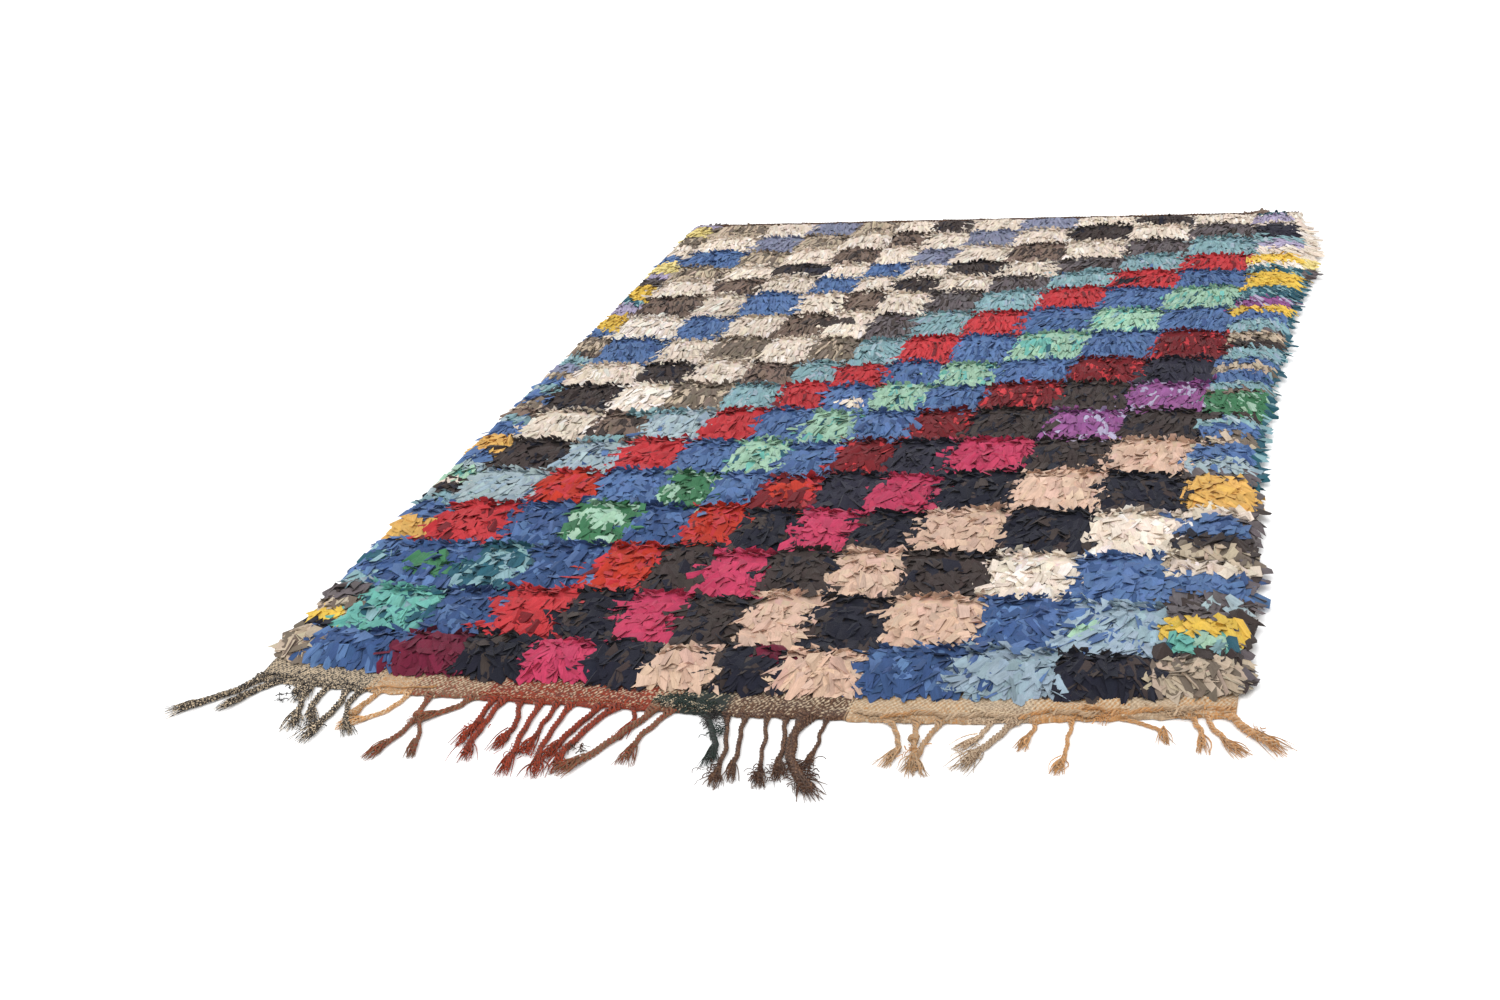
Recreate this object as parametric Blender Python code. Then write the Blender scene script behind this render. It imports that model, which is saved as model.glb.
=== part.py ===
"""A boucherouite rug, lying flat: rag strips knotted in rows of blocks on a woven ground.

The ground shows as a bare woven end in front of the pile and as a narrow one behind it. The warp
ends of the front are left as a fringe, which lies on the floor. Metres, +Z up. The origin is on
the floor under the middle of the pile, and the fringe is towards -Y.
"""

import math
import random

import bmesh
import bpy
import numpy as np

# Heights and thicknesses
GROUND = 0.004  # the woven ground, where it is bare
RIM = 0.011  # the pile at its outer edge
PILE = 0.0165  # the pile's top at the edge of a block
BLOCK_CROWN = 0.008  # how much higher a block's middle is
TUFT = 0.0032  # how far one lump is above or below its block

# Lengths in the floor's plane
PILE_WIDTH = 1.37
PILE_LENGTH = 2.04
PILE_BACK = 0.5 * PILE_LENGTH
MESH_STEP = 0.033
SHOULDER = 0.014  # from the pile's edge to its full height
TUCK = 0.004  # how far the ground runs in under the pile's edge
BACK_HEM = 0.012
BORDER = 0.1  # about the width of what lies outside the outermost block lines
LOCK = (0.010, 0.024)  # shortest and longest lock at the rim
LOCK_SWAY = 0.25  # most that a lock leans aside, as a share of its length
LOCK_TIP_HEIGHT = 0.004
LOCK_TIP_SHARE = 0.4  # of the root's width

# The fringe
PIECE_GAP = 0.0003
STRIP = 0.010  # depth of the strip that holds the strands
STRAND = 0.0065  # thickness of a strand
SQUARE = math.sqrt(0.5)  # half a square's side to half its diagonal
KNOT = 0.0075  # radius of a knot
KNOT_HEIGHT = 0.009

SEED = 7
SOFTEN = 0.05  # how far the edge tables' corners are rounded
STEEP = 0.75  # a face whose normal's z is under this is a wall
TOUCH = 1e-5  # places closer than this are one

# Edges of the pile, as (y, x).
LEFT_EDGE = ((-1.03, -0.684), (-0.30, -0.690), (0.40, -0.684), (1.03, -0.690))
RIGHT_EDGE = (
    (-1.03, 0.672),
    (-0.70, 0.680),
    (-0.25, 0.650),
    (0.13, 0.670),
    (0.50, 0.690),
    (0.68, 0.716),
    (0.85, 0.702),
    (1.03, 0.672),
)
# Front of the woven end and front of the pile, as (x, y).
WOVEN_FRONT = (
    (-0.69, -1.060),
    (-0.47, -1.076),
    (0.05, -1.083),
    (0.33, -1.072),
    (0.48, -1.048),
    (0.68, -1.016),
)
PILE_FRONT = ((-0.69, -1.000), (-0.43, -1.024), (0.05, -1.027), (0.33, -1.020), (0.50, -0.998), (0.68, -0.970))

# Lines between the blocks: across the rug from the left, and along it from the front.
COLUMN_LINES = (-0.63, -0.50, -0.40, -0.29, -0.195, -0.11, -0.02, 0.08, 0.185, 0.315, 0.44, 0.565)
ROW_LINES = (
    -0.935, -0.790, -0.644, -0.500, -0.367, -0.237, -0.106, 0.017,
    0.127, 0.260, 0.389, 0.513, 0.611, 0.700, 0.808, 0.911,
)

# Strands of the fringe: where each leaves the woven end (x), how far it lies towards the front,
# how far its tip and its middle lie to the right of a straight line, and its thickness share.
STRANDS = (
    # x, reach, lean, bow, thick
    (-0.676, 0.095, -0.080, 0.014, 1.3),
    (-0.645, 0.072, -0.045, 0.000, 1.2),
    (-0.617, 0.108, 0.050, 0.010, 1.0),
    (-0.590, 0.034, 0.004, 0.000, 1.0),
    (-0.562, 0.088, 0.016, -0.008, 1.0),
    (-0.532, 0.128, 0.002, 0.008, 1.0),
    (-0.508, 0.106, 0.030, -0.012, 1.0),
    (-0.480, 0.066, -0.010, 0.000, 0.9),
    (-0.437, 0.088, -0.052, 0.020, 0.9),
    (-0.402, 0.154, -0.012, 0.012, 1.0),
    (-0.337, 0.064, -0.054, 0.012, 1.0),
    (-0.307, 0.105, 0.000, 0.004, 1.0),
    (-0.289, 0.140, 0.002, -0.004, 1.0),
    (-0.268, 0.109, 0.016, 0.010, 1.0),
    (-0.236, 0.165, 0.016, 0.000, 1.0),
    (-0.212, 0.117, 0.002, 0.002, 0.9),
    (-0.189, 0.165, 0.012, -0.008, 1.0),
    (-0.148, 0.127, -0.028, 0.000, 1.0),
    (-0.122, 0.148, -0.034, -0.010, 1.1),
    (-0.102, 0.064, 0.008, 0.008, 0.9),
    (-0.070, 0.155, -0.070, 0.008, 1.3),
    (-0.046, 0.120, -0.024, -0.006, 1.0),
    (-0.004, 0.162, 0.064, 0.012, 1.9),
    (0.056, 0.142, 0.022, 0.000, 1.1),
    (0.084, 0.153, 0.034, 0.000, 1.0),
    (0.110, 0.134, 0.024, 0.002, 1.0),
    (0.138, 0.180, 0.050, -0.022, 1.0),
    (0.164, 0.110, 0.002, 0.002, 0.9),
    (0.242, 0.094, 0.024, 0.014, 1.0),
    (0.282, 0.112, 0.024, -0.004, 1.1),
    (0.312, 0.106, -0.018, 0.000, 1.0),
    (0.374, 0.060, -0.024, 0.008, 1.0),
    (0.408, 0.108, -0.048, 0.000, 1.2),
    (0.432, 0.060, -0.010, 0.002, 0.9),
    (0.473, 0.114, 0.000, 0.004, 0.9),
    (0.530, 0.042, 0.062, 0.016, 0.8),
    (0.618, 0.070, 0.018, 0.004, 1.1),
    (0.640, 0.076, 0.040, -0.010, 1.1),
    (0.662, 0.070, 0.062, -0.006, 1.4),
)
# Knots that tie neighbouring strands, as (x, y).
KNOTS = ((-0.600, -1.098), (-0.488, -1.146), (-0.393, -1.139), (-0.298, -1.150), (0.287, -1.125))
# The end that comes out of the third knot: from its knot to its tip, as (x, y).
KNOT_TAIL = ((-0.393, -1.139), (-0.372, -1.180), (-0.362, -1.224))
STATIONS = (  # share of a strand's length, share of its thickness there
    (0.0, 0.42),
    (0.09, 0.85),
    (0.22, 1.0),
    (0.42, 0.92),
    (0.62, 1.0),
    (0.82, 0.95),
    (1.0, 0.40),
)


def clear_scene():
    for old in list(bpy.data.objects):
        bpy.data.objects.remove(old, do_unlink=True)


def make_collection(name, shown=True):
    collection = bpy.data.collections.new(name)
    collection.hide_render = not shown
    bpy.context.scene.collection.children.link(collection)
    return collection


def make_material(name, colour, roughness):
    material = bpy.data.materials.new(name)
    material.use_nodes = True
    shader = material.node_tree.nodes["Principled BSDF"]
    shader.inputs["Base Color"].default_value = (*colour, 1.0)
    shader.inputs["Roughness"].default_value = roughness
    shader.inputs["Metallic"].default_value = 0.0
    return material


def make_object(bm, name, collection, material):
    mesh = bpy.data.meshes.new(name)
    bm.to_mesh(mesh)
    bm.free()
    obj = bpy.data.objects.new(name, mesh)
    obj.data.materials.append(material)
    collection.objects.link(obj)
    return obj


def along(table, at):
    """The table's value at a place, with its corners rounded."""
    places, values = zip(*table)
    return float(np.mean([np.interp(at + shift, places, values) for shift in (-SOFTEN, 0, SOFTEN)]))


def across(share, y):
    """The x at a share of the pile's width, from the left edge to the right one."""
    left = along(LEFT_EDGE, y)
    right = along(RIGHT_EDGE, y)
    return left + (right - left) * share


def even_shares(length, step, shoulder):
    """Shares of a length from 0 to 1: a shoulder at each end and even steps between."""
    edge = shoulder / length
    count = round((length - 2 * shoulder) / step)
    return [0.0, *np.linspace(edge, 1 - edge, count + 1), 1.0]


COLUMNS = even_shares(PILE_WIDTH, MESH_STEP, SHOULDER)
PILE_ROWS = even_shares(PILE_LENGTH, MESH_STEP, SHOULDER)


def block_share(lines, at):
    """Which block a place is in, and its share of the way through it."""
    block = int(np.searchsorted(lines, at))
    low = lines[block - 1] if block else lines[0] - BORDER
    high = lines[block] if block < len(lines) else lines[-1] + BORDER
    return block, min(max((at - low) / (high - low), 0.0), 1.0)


def pile_height(x, y, chance):
    """The pile's top: each block is a low crown, and each lump on it is a little off."""
    column, share_x = block_share(COLUMN_LINES, x)
    row, share_y = block_share(ROW_LINES, y)
    bulge = max(math.sin(math.pi * share_x) * math.sin(math.pi * share_y), 0.0)
    block_lift = 0.5 * random.Random(f"{column} {row}").uniform(-TUFT, TUFT)
    return PILE + BLOCK_CROWN * math.sqrt(bulge) + block_lift + chance.uniform(-TUFT, TUFT)


def rug_rows():
    """Rows of the upper surface from front to back, as (kind, share of the way along that kind)."""
    front = [("woven", 0.0), ("woven", 0.5), ("woven", 1.0)]
    pile = [("pile", share) for share in PILE_ROWS]
    back = [("hem", 0.0), ("hem", 1.0)]
    return front + pile + back


def rug_point(column_share, kind, share, chance):
    """A point of the rug's upper surface."""
    rough_x = across(column_share, 0.0)
    pile_front = along(PILE_FRONT, rough_x)
    if kind == "woven":
        start = along(WOVEN_FRONT, rough_x)
        y = start + (pile_front + TUCK - start) * share
        z = GROUND
    elif kind == "hem":
        start = PILE_BACK - TUCK
        y = start + (TUCK + BACK_HEM) * share
        z = GROUND
    else:
        y = pile_front + (PILE_BACK - pile_front) * share
        at_rim = share in (0.0, 1.0) or column_share in (0.0, 1.0)
        z = RIM if at_rim else pile_height(across(column_share, y), y, chance)
    return across(column_share, y), y, z


def grow_locks(bm, faces, chance):
    """Draws each of these faces out into a tapered lock that droops to a low tip."""
    grown = bmesh.ops.extrude_discrete_faces(bm, faces=faces)["faces"]
    for face in grown:
        outward = face.normal.copy()
        outward.z = 0
        outward.normalize()
        centre = face.calc_center_median()
        reach = chance.uniform(*LOCK)
        sideways = chance.uniform(-LOCK_SWAY, LOCK_SWAY) * reach
        low = min(vertex.co.z for vertex in face.verts)
        for vertex in face.verts:
            flat = (vertex.co - centre) * LOCK_TIP_SHARE
            tip = centre + flat + outward * reach
            tip.x -= outward.y * sideways
            tip.y += outward.x * sideways
            tip.z = low if vertex.co.z < low + TOUCH else low + LOCK_TIP_HEIGHT
            vertex.co = tip


def close_to_floor(bm):
    """Gives an open upper surface side walls and one flat face on the floor."""
    rim = [edge for edge in bm.edges if edge.is_boundary]
    walls = bmesh.ops.extrude_edge_only(bm, edges=rim)["geom"]
    for vertex in (item for item in walls if isinstance(item, bmesh.types.BMVert)):
        vertex.co.z = 0.0
    bmesh.ops.holes_fill(bm, edges=[edge for edge in bm.edges if edge.is_boundary], sides=0)
    bmesh.ops.recalc_face_normals(bm, faces=bm.faces)
    bm.normal_update()


def upper_surface(rows, place):
    """A grid with a row for each of rows, its points moved to place(column share, row)."""
    bm = bmesh.new()
    bmesh.ops.create_grid(bm, x_segments=len(COLUMNS) - 1, y_segments=len(rows) - 1, size=0.5)
    for vertex in sorted(bm.verts, key=lambda vertex: (round(vertex.co.y, 5), vertex.co.x)):
        column = COLUMNS[round((vertex.co.x + 0.5) * (len(COLUMNS) - 1))]
        row = rows[round((vertex.co.y + 0.5) * (len(rows) - 1))]
        vertex.co = place(column, row)
    return bm


def is_lock_root(face):
    """The pile's outer walls, and the short rises from the ground to its front and back edge."""
    heights = [vertex.co.z for vertex in face.verts]
    return abs(face.normal.z) < STEEP and abs(max(heights) - RIM) < TOUCH and min(heights) < GROUND + TOUCH


def build_rug(collection):
    chance = random.Random(SEED)
    bm = upper_surface(rug_rows(), lambda column, row: rug_point(column, *row, chance))
    close_to_floor(bm)
    roots = [face for face in bm.faces if len(face.verts) == 4 and is_lock_root(face)]
    roots.sort(key=lambda face: tuple(face.calc_center_median()))
    grow_locks(bm, roots, chance)
    bmesh.ops.recalc_face_normals(bm, faces=bm.faces)
    return make_object(bm, "rug", collection, make_material("rag pile", (0.22, 0.23, 0.27), 0.95))


def strip_point(column_share, row):
    """A point of the strip that holds the fringe, a gap in front of the woven end."""
    rough_x = across(column_share, 0.0)
    y = along(WOVEN_FRONT, rough_x)
    x = across(column_share, y)
    return x, y - PIECE_GAP - STRIP * (1 - row), GROUND


def strand_points(start, middle, end, thick):
    """Points of a strand on the floor, as (place, thickness share)."""
    points = []
    for share, width in STATIONS:
        rest = 1 - share
        flat = [rest * rest * a + 2 * rest * share * b + share * share * c for a, b, c in zip(start, middle, end)]
        half = 0.5 * STRAND * width * thick
        points.append(((*flat, half), width * thick))
    return points


def fringe_strands():
    """Each strand from inside the strip to its tip, and the end that leaves a knot."""
    for x, reach, lean, bow, thick in STRANDS:
        y = along(WOVEN_FRONT, x) - 0.5 * STRIP
        end = (x + lean, y - reach)
        middle = (x + 0.5 * lean + 2 * bow, y - 0.5 * reach)
        points = strand_points((x, y), middle, end, thick)
        root_place, root_width = points[0]
        points[0] = ((root_place[0], root_place[1], 0.5 * GROUND), root_width / thick)
        yield points
    yield strand_points(*KNOT_TAIL, 1.0)


def strand_curve(collection):
    """All strands as one curve, each four-sided with a flat side on the floor."""
    curve = bpy.data.curves.new("strands", "CURVE")
    curve.dimensions = "3D"
    curve.twist_mode = "Z_UP"
    curve.bevel_depth = 0.5 * STRAND / SQUARE
    curve.bevel_resolution = 0
    curve.use_fill_caps = True
    for points in fringe_strands():
        spline = curve.splines.new("POLY")
        spline.points.add(len(points) - 1)
        for point, (place, width) in zip(spline.points, points):
            point.co = (*place, 1.0)
            point.radius = width
            point.tilt = math.pi / 4
    obj = bpy.data.objects.new("strands", curve)
    collection.objects.link(obj)
    return obj


def as_cutter(obj, collection):
    """The object's evaluated shape as a closed mesh, kept out of the render."""
    bpy.context.view_layer.update()
    graph = bpy.context.evaluated_depsgraph_get()
    mesh = bpy.data.meshes.new_from_object(obj.evaluated_get(graph))
    bm = bmesh.new()
    bm.from_mesh(mesh)
    bmesh.ops.remove_doubles(bm, verts=bm.verts, dist=TOUCH)
    bmesh.ops.recalc_face_normals(bm, faces=bm.faces)
    bm.to_mesh(mesh)
    bm.free()
    solid = bpy.data.objects.new(obj.name + "_solid", mesh)
    solid.matrix_world = obj.matrix_world
    bpy.data.objects.remove(obj)
    return hide_cutter(solid, collection)


def hide_cutter(obj, collection):
    collection.objects.link(obj)
    obj.hide_render = True
    obj.display_type = "WIRE"
    return obj


def knot_solid(index, place, collection):
    """A knot, as a low ball that rests on the floor."""
    bm = bmesh.new()
    bmesh.ops.create_uvsphere(bm, u_segments=8, v_segments=4, radius=1.0)
    for vertex in bm.verts:
        height = 0.5 * KNOT_HEIGHT * (1 + vertex.co.z)
        vertex.co = (place[0] + KNOT * vertex.co.x, place[1] + KNOT * vertex.co.y, height)
    mesh = bpy.data.meshes.new(f"knot_{index}")
    bm.to_mesh(mesh)
    bm.free()
    return hide_cutter(bpy.data.objects.new(mesh.name, mesh), collection)


def build_fringe(collection, cutters):
    bm = upper_surface([0.0, 1.0], strip_point)
    close_to_floor(bm)
    fringe = make_object(bm, "fringe", collection, make_material("warp yarn", (0.33, 0.22, 0.16), 0.9))
    joined = [as_cutter(strand_curve(collection), cutters)]
    joined += [knot_solid(index, place, cutters) for index, place in enumerate(KNOTS)]
    for other in joined:
        union = fringe.modifiers.new(f"join {other.name}", "BOOLEAN")
        union.operation = "UNION"
        union.solver = "EXACT"
        union.use_self = True
        union.object = other
    return fringe


def main():
    clear_scene()
    parts = make_collection("boucherouite rug")
    cutters = make_collection("cutters", shown=False)
    build_rug(parts)
    build_fringe(parts, cutters)


main()
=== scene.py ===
import math

import bpy
import numpy as np
from mathutils import Euler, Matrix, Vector


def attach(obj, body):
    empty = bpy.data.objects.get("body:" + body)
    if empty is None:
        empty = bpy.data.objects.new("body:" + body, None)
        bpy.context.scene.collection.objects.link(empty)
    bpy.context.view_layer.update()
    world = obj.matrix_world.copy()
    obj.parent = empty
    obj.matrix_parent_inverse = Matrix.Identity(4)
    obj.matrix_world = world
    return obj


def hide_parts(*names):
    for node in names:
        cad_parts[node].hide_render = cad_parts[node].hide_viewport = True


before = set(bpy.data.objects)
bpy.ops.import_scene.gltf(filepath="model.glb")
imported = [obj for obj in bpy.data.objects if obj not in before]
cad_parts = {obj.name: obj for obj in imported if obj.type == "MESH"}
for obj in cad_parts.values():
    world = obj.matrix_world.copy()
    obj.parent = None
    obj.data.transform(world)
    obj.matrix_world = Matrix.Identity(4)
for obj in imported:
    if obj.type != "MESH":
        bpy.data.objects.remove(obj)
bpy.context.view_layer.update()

# The looks of a boucherouite rug: thousands of knotted rag strips on a woven ground, a bare woven
# end, and a fringe of twisted warp ends. Metres, +Z up, the fringe towards -Y.

SEED = 11

# Main sizes, much as in the solids
GROUND = 0.004  # the woven ground
PILE = 0.0165  # the pile's top at the edge of a block
BLOCK_CROWN = 0.010  # how much higher a block's middle is
RIM = 0.011  # the pile at its outer edge
WIDTH = 1.37  # of the pile
GROUND_WIDTH = 1.36
LENGTH = 2.04  # of the pile
PILE_START = -1.02  # about where the pile's front is
PILE_BACK = 1.02
LEFT_X = -0.68  # about where its sides are
RIGHT_X = 0.67
BORDER = 0.1  # the outermost columns of blocks count as this wide
SOFTEN = 0.05  # corners of the edges are rounded over this distance
STRAND = 0.0065  # thickness of a strand of the fringe
STRIP = 0.010  # depth of the strip from which the fringe hangs
CORD = 0.0052  # thickness of a cord on the woven edge

# Edges of the pile, as (y, x).
LEFT_EDGE = ((-1.03, -0.684), (-0.30, -0.690), (0.40, -0.684), (1.03, -0.690))
RIGHT_EDGE = (
    (-1.03, 0.672), (-0.70, 0.680), (-0.25, 0.650), (0.13, 0.670), (0.50, 0.690), (0.68, 0.716),
    (0.85, 0.702), (1.03, 0.672),
)
# Front of the woven end and front of the pile, as (x, y).
WOVEN_FRONT = (
    (-0.69, -1.060), (-0.47, -1.076), (0.05, -1.083), (0.33, -1.072), (0.48, -1.048), (0.68, -1.016),
)
PILE_FRONT = (
    (-0.69, -1.000), (-0.43, -1.024), (0.05, -1.027), (0.33, -1.020), (0.50, -0.998), (0.68, -0.970),
)

# How far the columns at the right lie outside their lines, as (y, distance).
COLUMN_DRIFT = ((-0.80, 0.0), (-0.35, -0.018), (0.60, 0.020), (1.03, 0.016))
ROWS_BACK = 0.018  # how far the rows at the right lie behind their lines

# Lines between the blocks: across the rug from the left, and along it from the front.
COLUMN_LINES = (-0.63, -0.50, -0.40, -0.29, -0.195, -0.11, -0.02, 0.08, 0.185, 0.315, 0.44, 0.565)
ROW_LINES = (
    -0.935, -0.790, -0.644, -0.500, -0.367, -0.237, -0.106, 0.017,
    0.127, 0.260, 0.389, 0.513, 0.611, 0.700, 0.808, 0.911,
)
BLOCKS = (len(ROW_LINES) + 1, len(COLUMN_LINES) + 1)  # rows and columns of them

# Rag colours, as they look in daylight (sRGB).
PALETTE = {
    "white": (240, 232, 223),
    "cream": (227, 212, 196),
    "beige": (220, 186, 163),
    "pink beige": (213, 181, 160),
    "taupe": (195, 177, 155),
    "grey brown": (120, 107, 95),
    "brown": (123, 104, 93),
    "charcoal": (104, 96, 99),
    "black": (64, 54, 52),
    "navy": (30, 31, 44),
    "grey navy": (45, 44, 58),
    "blue": (89, 118, 165),
    "dark blue": (60, 86, 132),
    "light blue": (152, 172, 186),
    "pale blue": (163, 180, 186),
    "violet blue": (132, 136, 160),
    "deep teal": (44, 92, 108),
    "teal": (133, 168, 175),
    "teal green": (111, 181, 170),
    "mint": (162, 198, 174),
    "green": (66, 122, 86),
    "pink": (190, 61, 95),
    "red": (192, 55, 61),
    "orange": (183, 52, 36),
    "dark red": (112, 29, 36),
    "burgundy": (108, 30, 54),
    "purple": (144, 84, 140),
    "lilac": (176, 166, 194),
    "yellow": (230, 192, 80),
    "pale yellow": (230, 212, 140),
    "ochre": (224, 176, 96),
}

# The field's bands. A block's band is its column less its row. Each entry is the row from which
# the band has that colour.
BANDS = {
    10: ((1, "navy"),),
    9: ((1, "light blue"),),
    8: ((1, "dark blue"), (3, "blue")),
    7: ((1, "beige"), (3, "cream")),
    6: ((1, "navy"), (3, "black"), (4, "navy")),
    5: ((1, "pink beige"),),
    4: ((1, "navy"), (2, "black"), (4, "navy"), (6, "black")),
    3: ((1, "pink"), (7, "purple")),
    2: ((1, "navy"), (3, "black"), (4, "navy"), (5, "grey navy"), (7, "black"), (9, "grey navy")),
    1: ((1, "burgundy"), (2, "red"), (3, "orange"), (5, "dark red")),
    0: ((1, "dark blue"), (5, "blue")),
    -1: ((2, "teal green"), (3, "deep teal"), (4, "green"), (6, "mint")),
    -2: ((3, "dark blue"), (5, "blue")),
    -3: ((4, "red"), (5, "orange"), (6, "red")),
    -4: ((5, "pale blue"), (8, "teal")),
    -5: ((6, "black"), (7, "brown"), (8, "grey brown"), (9, "brown"), (10, "grey brown"), (11, "charcoal")),
    -6: ((7, "cream"), (8, "white"), (9, "cream")),
    -7: ((8, "black"), (10, "grey brown"), (11, "brown"), (13, "black"), (15, "brown"), (16, "black")),
    -8: ((9, "cream"),),
    -9: ((10, "blue"), (15, "violet blue")),
    -10: ((11, "white"), (12, "cream")),
    -11: ((12, "brown"), (14, "black"), (15, "brown"), (17, "black")),
    -12: ((13, "cream"),),
    -13: ((14, "taupe"),),
    -14: ((15, "blue"), (16, "violet blue")),
    -15: ((16, "cream"),),
    -16: ((17, "taupe"),),
}

# Stripes of the side borders from front to back, as (y where the stripe ends, colour).
LEFT_STRIPES = (
    (-0.955, "taupe"), (-0.925, "navy"), (-0.893, "yellow"), (-0.862, "taupe"), (-0.813, "charcoal"),
    (-0.775, "teal"), (-0.735, "blue"), (-0.705, "deep teal"), (-0.660, "blue"), (-0.580, "ochre"),
    (-0.520, "blue"), (-0.480, "teal"), (-0.450, "black"), (-0.432, "cream"), (-0.392, "mint"),
    (-0.345, "pale blue"), (-0.310, "blue"), (-0.240, "ochre"), (-0.186, "blue"), (-0.155, "teal"),
    (-0.115, "brown"), (-0.085, "taupe"), (-0.040, "blue"), (-0.005, "teal"), (0.035, "blue"),
    (0.060, "taupe"), (0.100, "violet blue"), (0.140, "teal"), (0.170, "brown"), (0.222, "taupe"),
    (0.255, "grey brown"), (0.295, "blue"), (0.390, "yellow"), (0.440, "lilac"), (0.475, "deep teal"),
    (0.560, "yellow"), (0.610, "charcoal"), (0.642, "lilac"), (0.718, "pale yellow"), (0.760, "blue"),
    (0.818, "cream"), (0.900, "grey brown"), (0.960, "pale yellow"), (1.030, "lilac"),
)
RIGHT_STRIPES = (
    (-0.925, "taupe"), (-0.905, "black"), (-0.868, "teal green"), (-0.815, "yellow"), (-0.750, "charcoal"),
    (-0.695, "blue"), (-0.665, "cream"), (-0.607, "taupe"), (-0.572, "black"), (-0.513, "blue"),
    (-0.478, "cream"), (-0.382, "ochre"), (-0.345, "charcoal"), (-0.305, "pale blue"), (-0.255, "blue"),
    (-0.205, "taupe"), (-0.168, "blue"), (-0.142, "teal"), (-0.127, "black"), (-0.030, "green"),
    (-0.012, "brown"), (0.022, "teal"), (0.065, "blue"), (0.103, "taupe"), (0.133, "blue"), (0.173, "teal"),
    (0.212, "black"), (0.265, "taupe"), (0.277, "charcoal"), (0.322, "teal"), (0.362, "blue"),
    (0.405, "yellow"), (0.443, "purple"), (0.507, "deep teal"), (0.590, "yellow"), (0.630, "deep teal"),
    (0.655, "white"), (0.703, "yellow"), (0.742, "cream"), (0.780, "lilac"), (0.820, "teal"),
    (0.860, "grey navy"), (0.895, "grey navy"), (0.925, "cream"), (0.970, "lilac"), (1.000, "deep teal"),
    (1.030, "taupe"),
)

# Pieces of the pile: cloth of like colours, so that each stays one mesh of a fair size.
FAMILIES = {
    "pile_blue": ("blue", "dark blue", "light blue", "pale blue", "violet blue"),
    "pile_pale": ("white", "cream", "beige", "pink beige"),
    "pile_dark": ("charcoal", "black", "navy", "grey navy"),
    "pile_brown": ("taupe", "grey brown", "brown"),
    "pile_red": ("pink", "red", "orange", "dark red", "burgundy", "purple", "lilac"),
    "pile_green": ("deep teal", "teal", "teal green", "mint", "green", "yellow", "pale yellow", "ochre"),
}

# Rags of these colours come mixed with some of another, as (colour, its share).
COMPANIONS = {
    "cream": ("white", 0.25),
    "white": ("cream", 0.35),
    "beige": ("pink beige", 0.4),
    "mint": ("teal green", 0.18),
    "green": ("mint", 0.25),
    "teal": ("pale blue", 0.2),
    "teal green": ("deep teal", 0.3),
    "pale blue": ("light blue", 0.25),
    "light blue": ("blue", 0.12),
    "blue": ("dark blue", 0.3),
    "dark blue": ("blue", 0.2),
    "deep teal": ("teal", 0.25),
    "orange": ("red", 0.4),
    "red": ("dark red", 0.1),
    "dark red": ("red", 0.12),
    "black": ("navy", 0.25),
    "navy": ("black", 0.2),
    "charcoal": ("black", 0.3),
    "brown": ("black", 0.3),
    "grey brown": ("taupe", 0.35),
    "taupe": ("grey brown", 0.4),
    "purple": ("lilac", 0.2),
}
# The outermost rags of the right border, as (y where the colour ends, colour, width of this edge).
RIGHT_RIM = (
    (-0.40, "charcoal", 0.012),
    (0.57, "deep teal", 0.012),
    (0.63, "charcoal", 0.020),
    (0.68, "pale yellow", 0.034),
    (1.03, "cream", 0.034),
)
# Odd rags of another colour, as (x, y, radius across, radius along, colour).
ACCENTS = (
    (0.060, -0.965, 0.022, 0.020, "burgundy"),
    (0.480, -0.862, 0.026, 0.014, "mint"),
    (0.622, -0.885, 0.020, 0.010, "mint"),
    (0.640, -0.780, 0.024, 0.010, "pale blue"),
    (-0.392, -0.130, 0.060, 0.020, "teal"),
    (-0.450, -0.245, 0.024, 0.022, "teal"),
    (-0.276, -0.392, 0.020, 0.022, "mint"),
    (-0.047, -0.079, 0.012, 0.012, "cream"),
    (-0.035, -0.407, 0.020, 0.026, "red"),
    (-0.068, -0.450, 0.034, 0.022, "orange"),
    (-0.343, -0.565, 0.036, 0.018, "mint"),
    (-0.560, -0.740, 0.044, 0.020, "green"),
    (-0.500, -0.880, 0.030, 0.016, "deep teal"),
    (0.300, -0.180, 0.036, 0.012, "black"),
    (0.230, 0.215, 0.030, 0.012, "teal green"),
    (-0.180, 0.330, 0.040, 0.012, "black"),
    (0.360, 0.560, 0.030, 0.014, "navy"),
    (-0.300, 0.650, 0.034, 0.012, "grey navy"),
)
# Tufts that stick out behind the rug, as (x, y, colour, rags).
BACK_TUFTS = ((0.587, 1.012, "brown", 16), (-0.650, 1.010, "charcoal", 12), (0.350, 1.014, "cream", 6))

# Wool of the ground and fringe (sRGB).
WOOL = {
    "cream": (198, 178, 150),
    "black": (40, 36, 35),
    "gold": (178, 130, 82),
    "tan": (168, 141, 112),
    "grey brown": (114, 85, 63),
    "rust": (136, 46, 20),
    "brown": (70, 45, 33),
    "forest": (34, 46, 41),
    "beige": (177, 154, 128),
}
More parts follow.
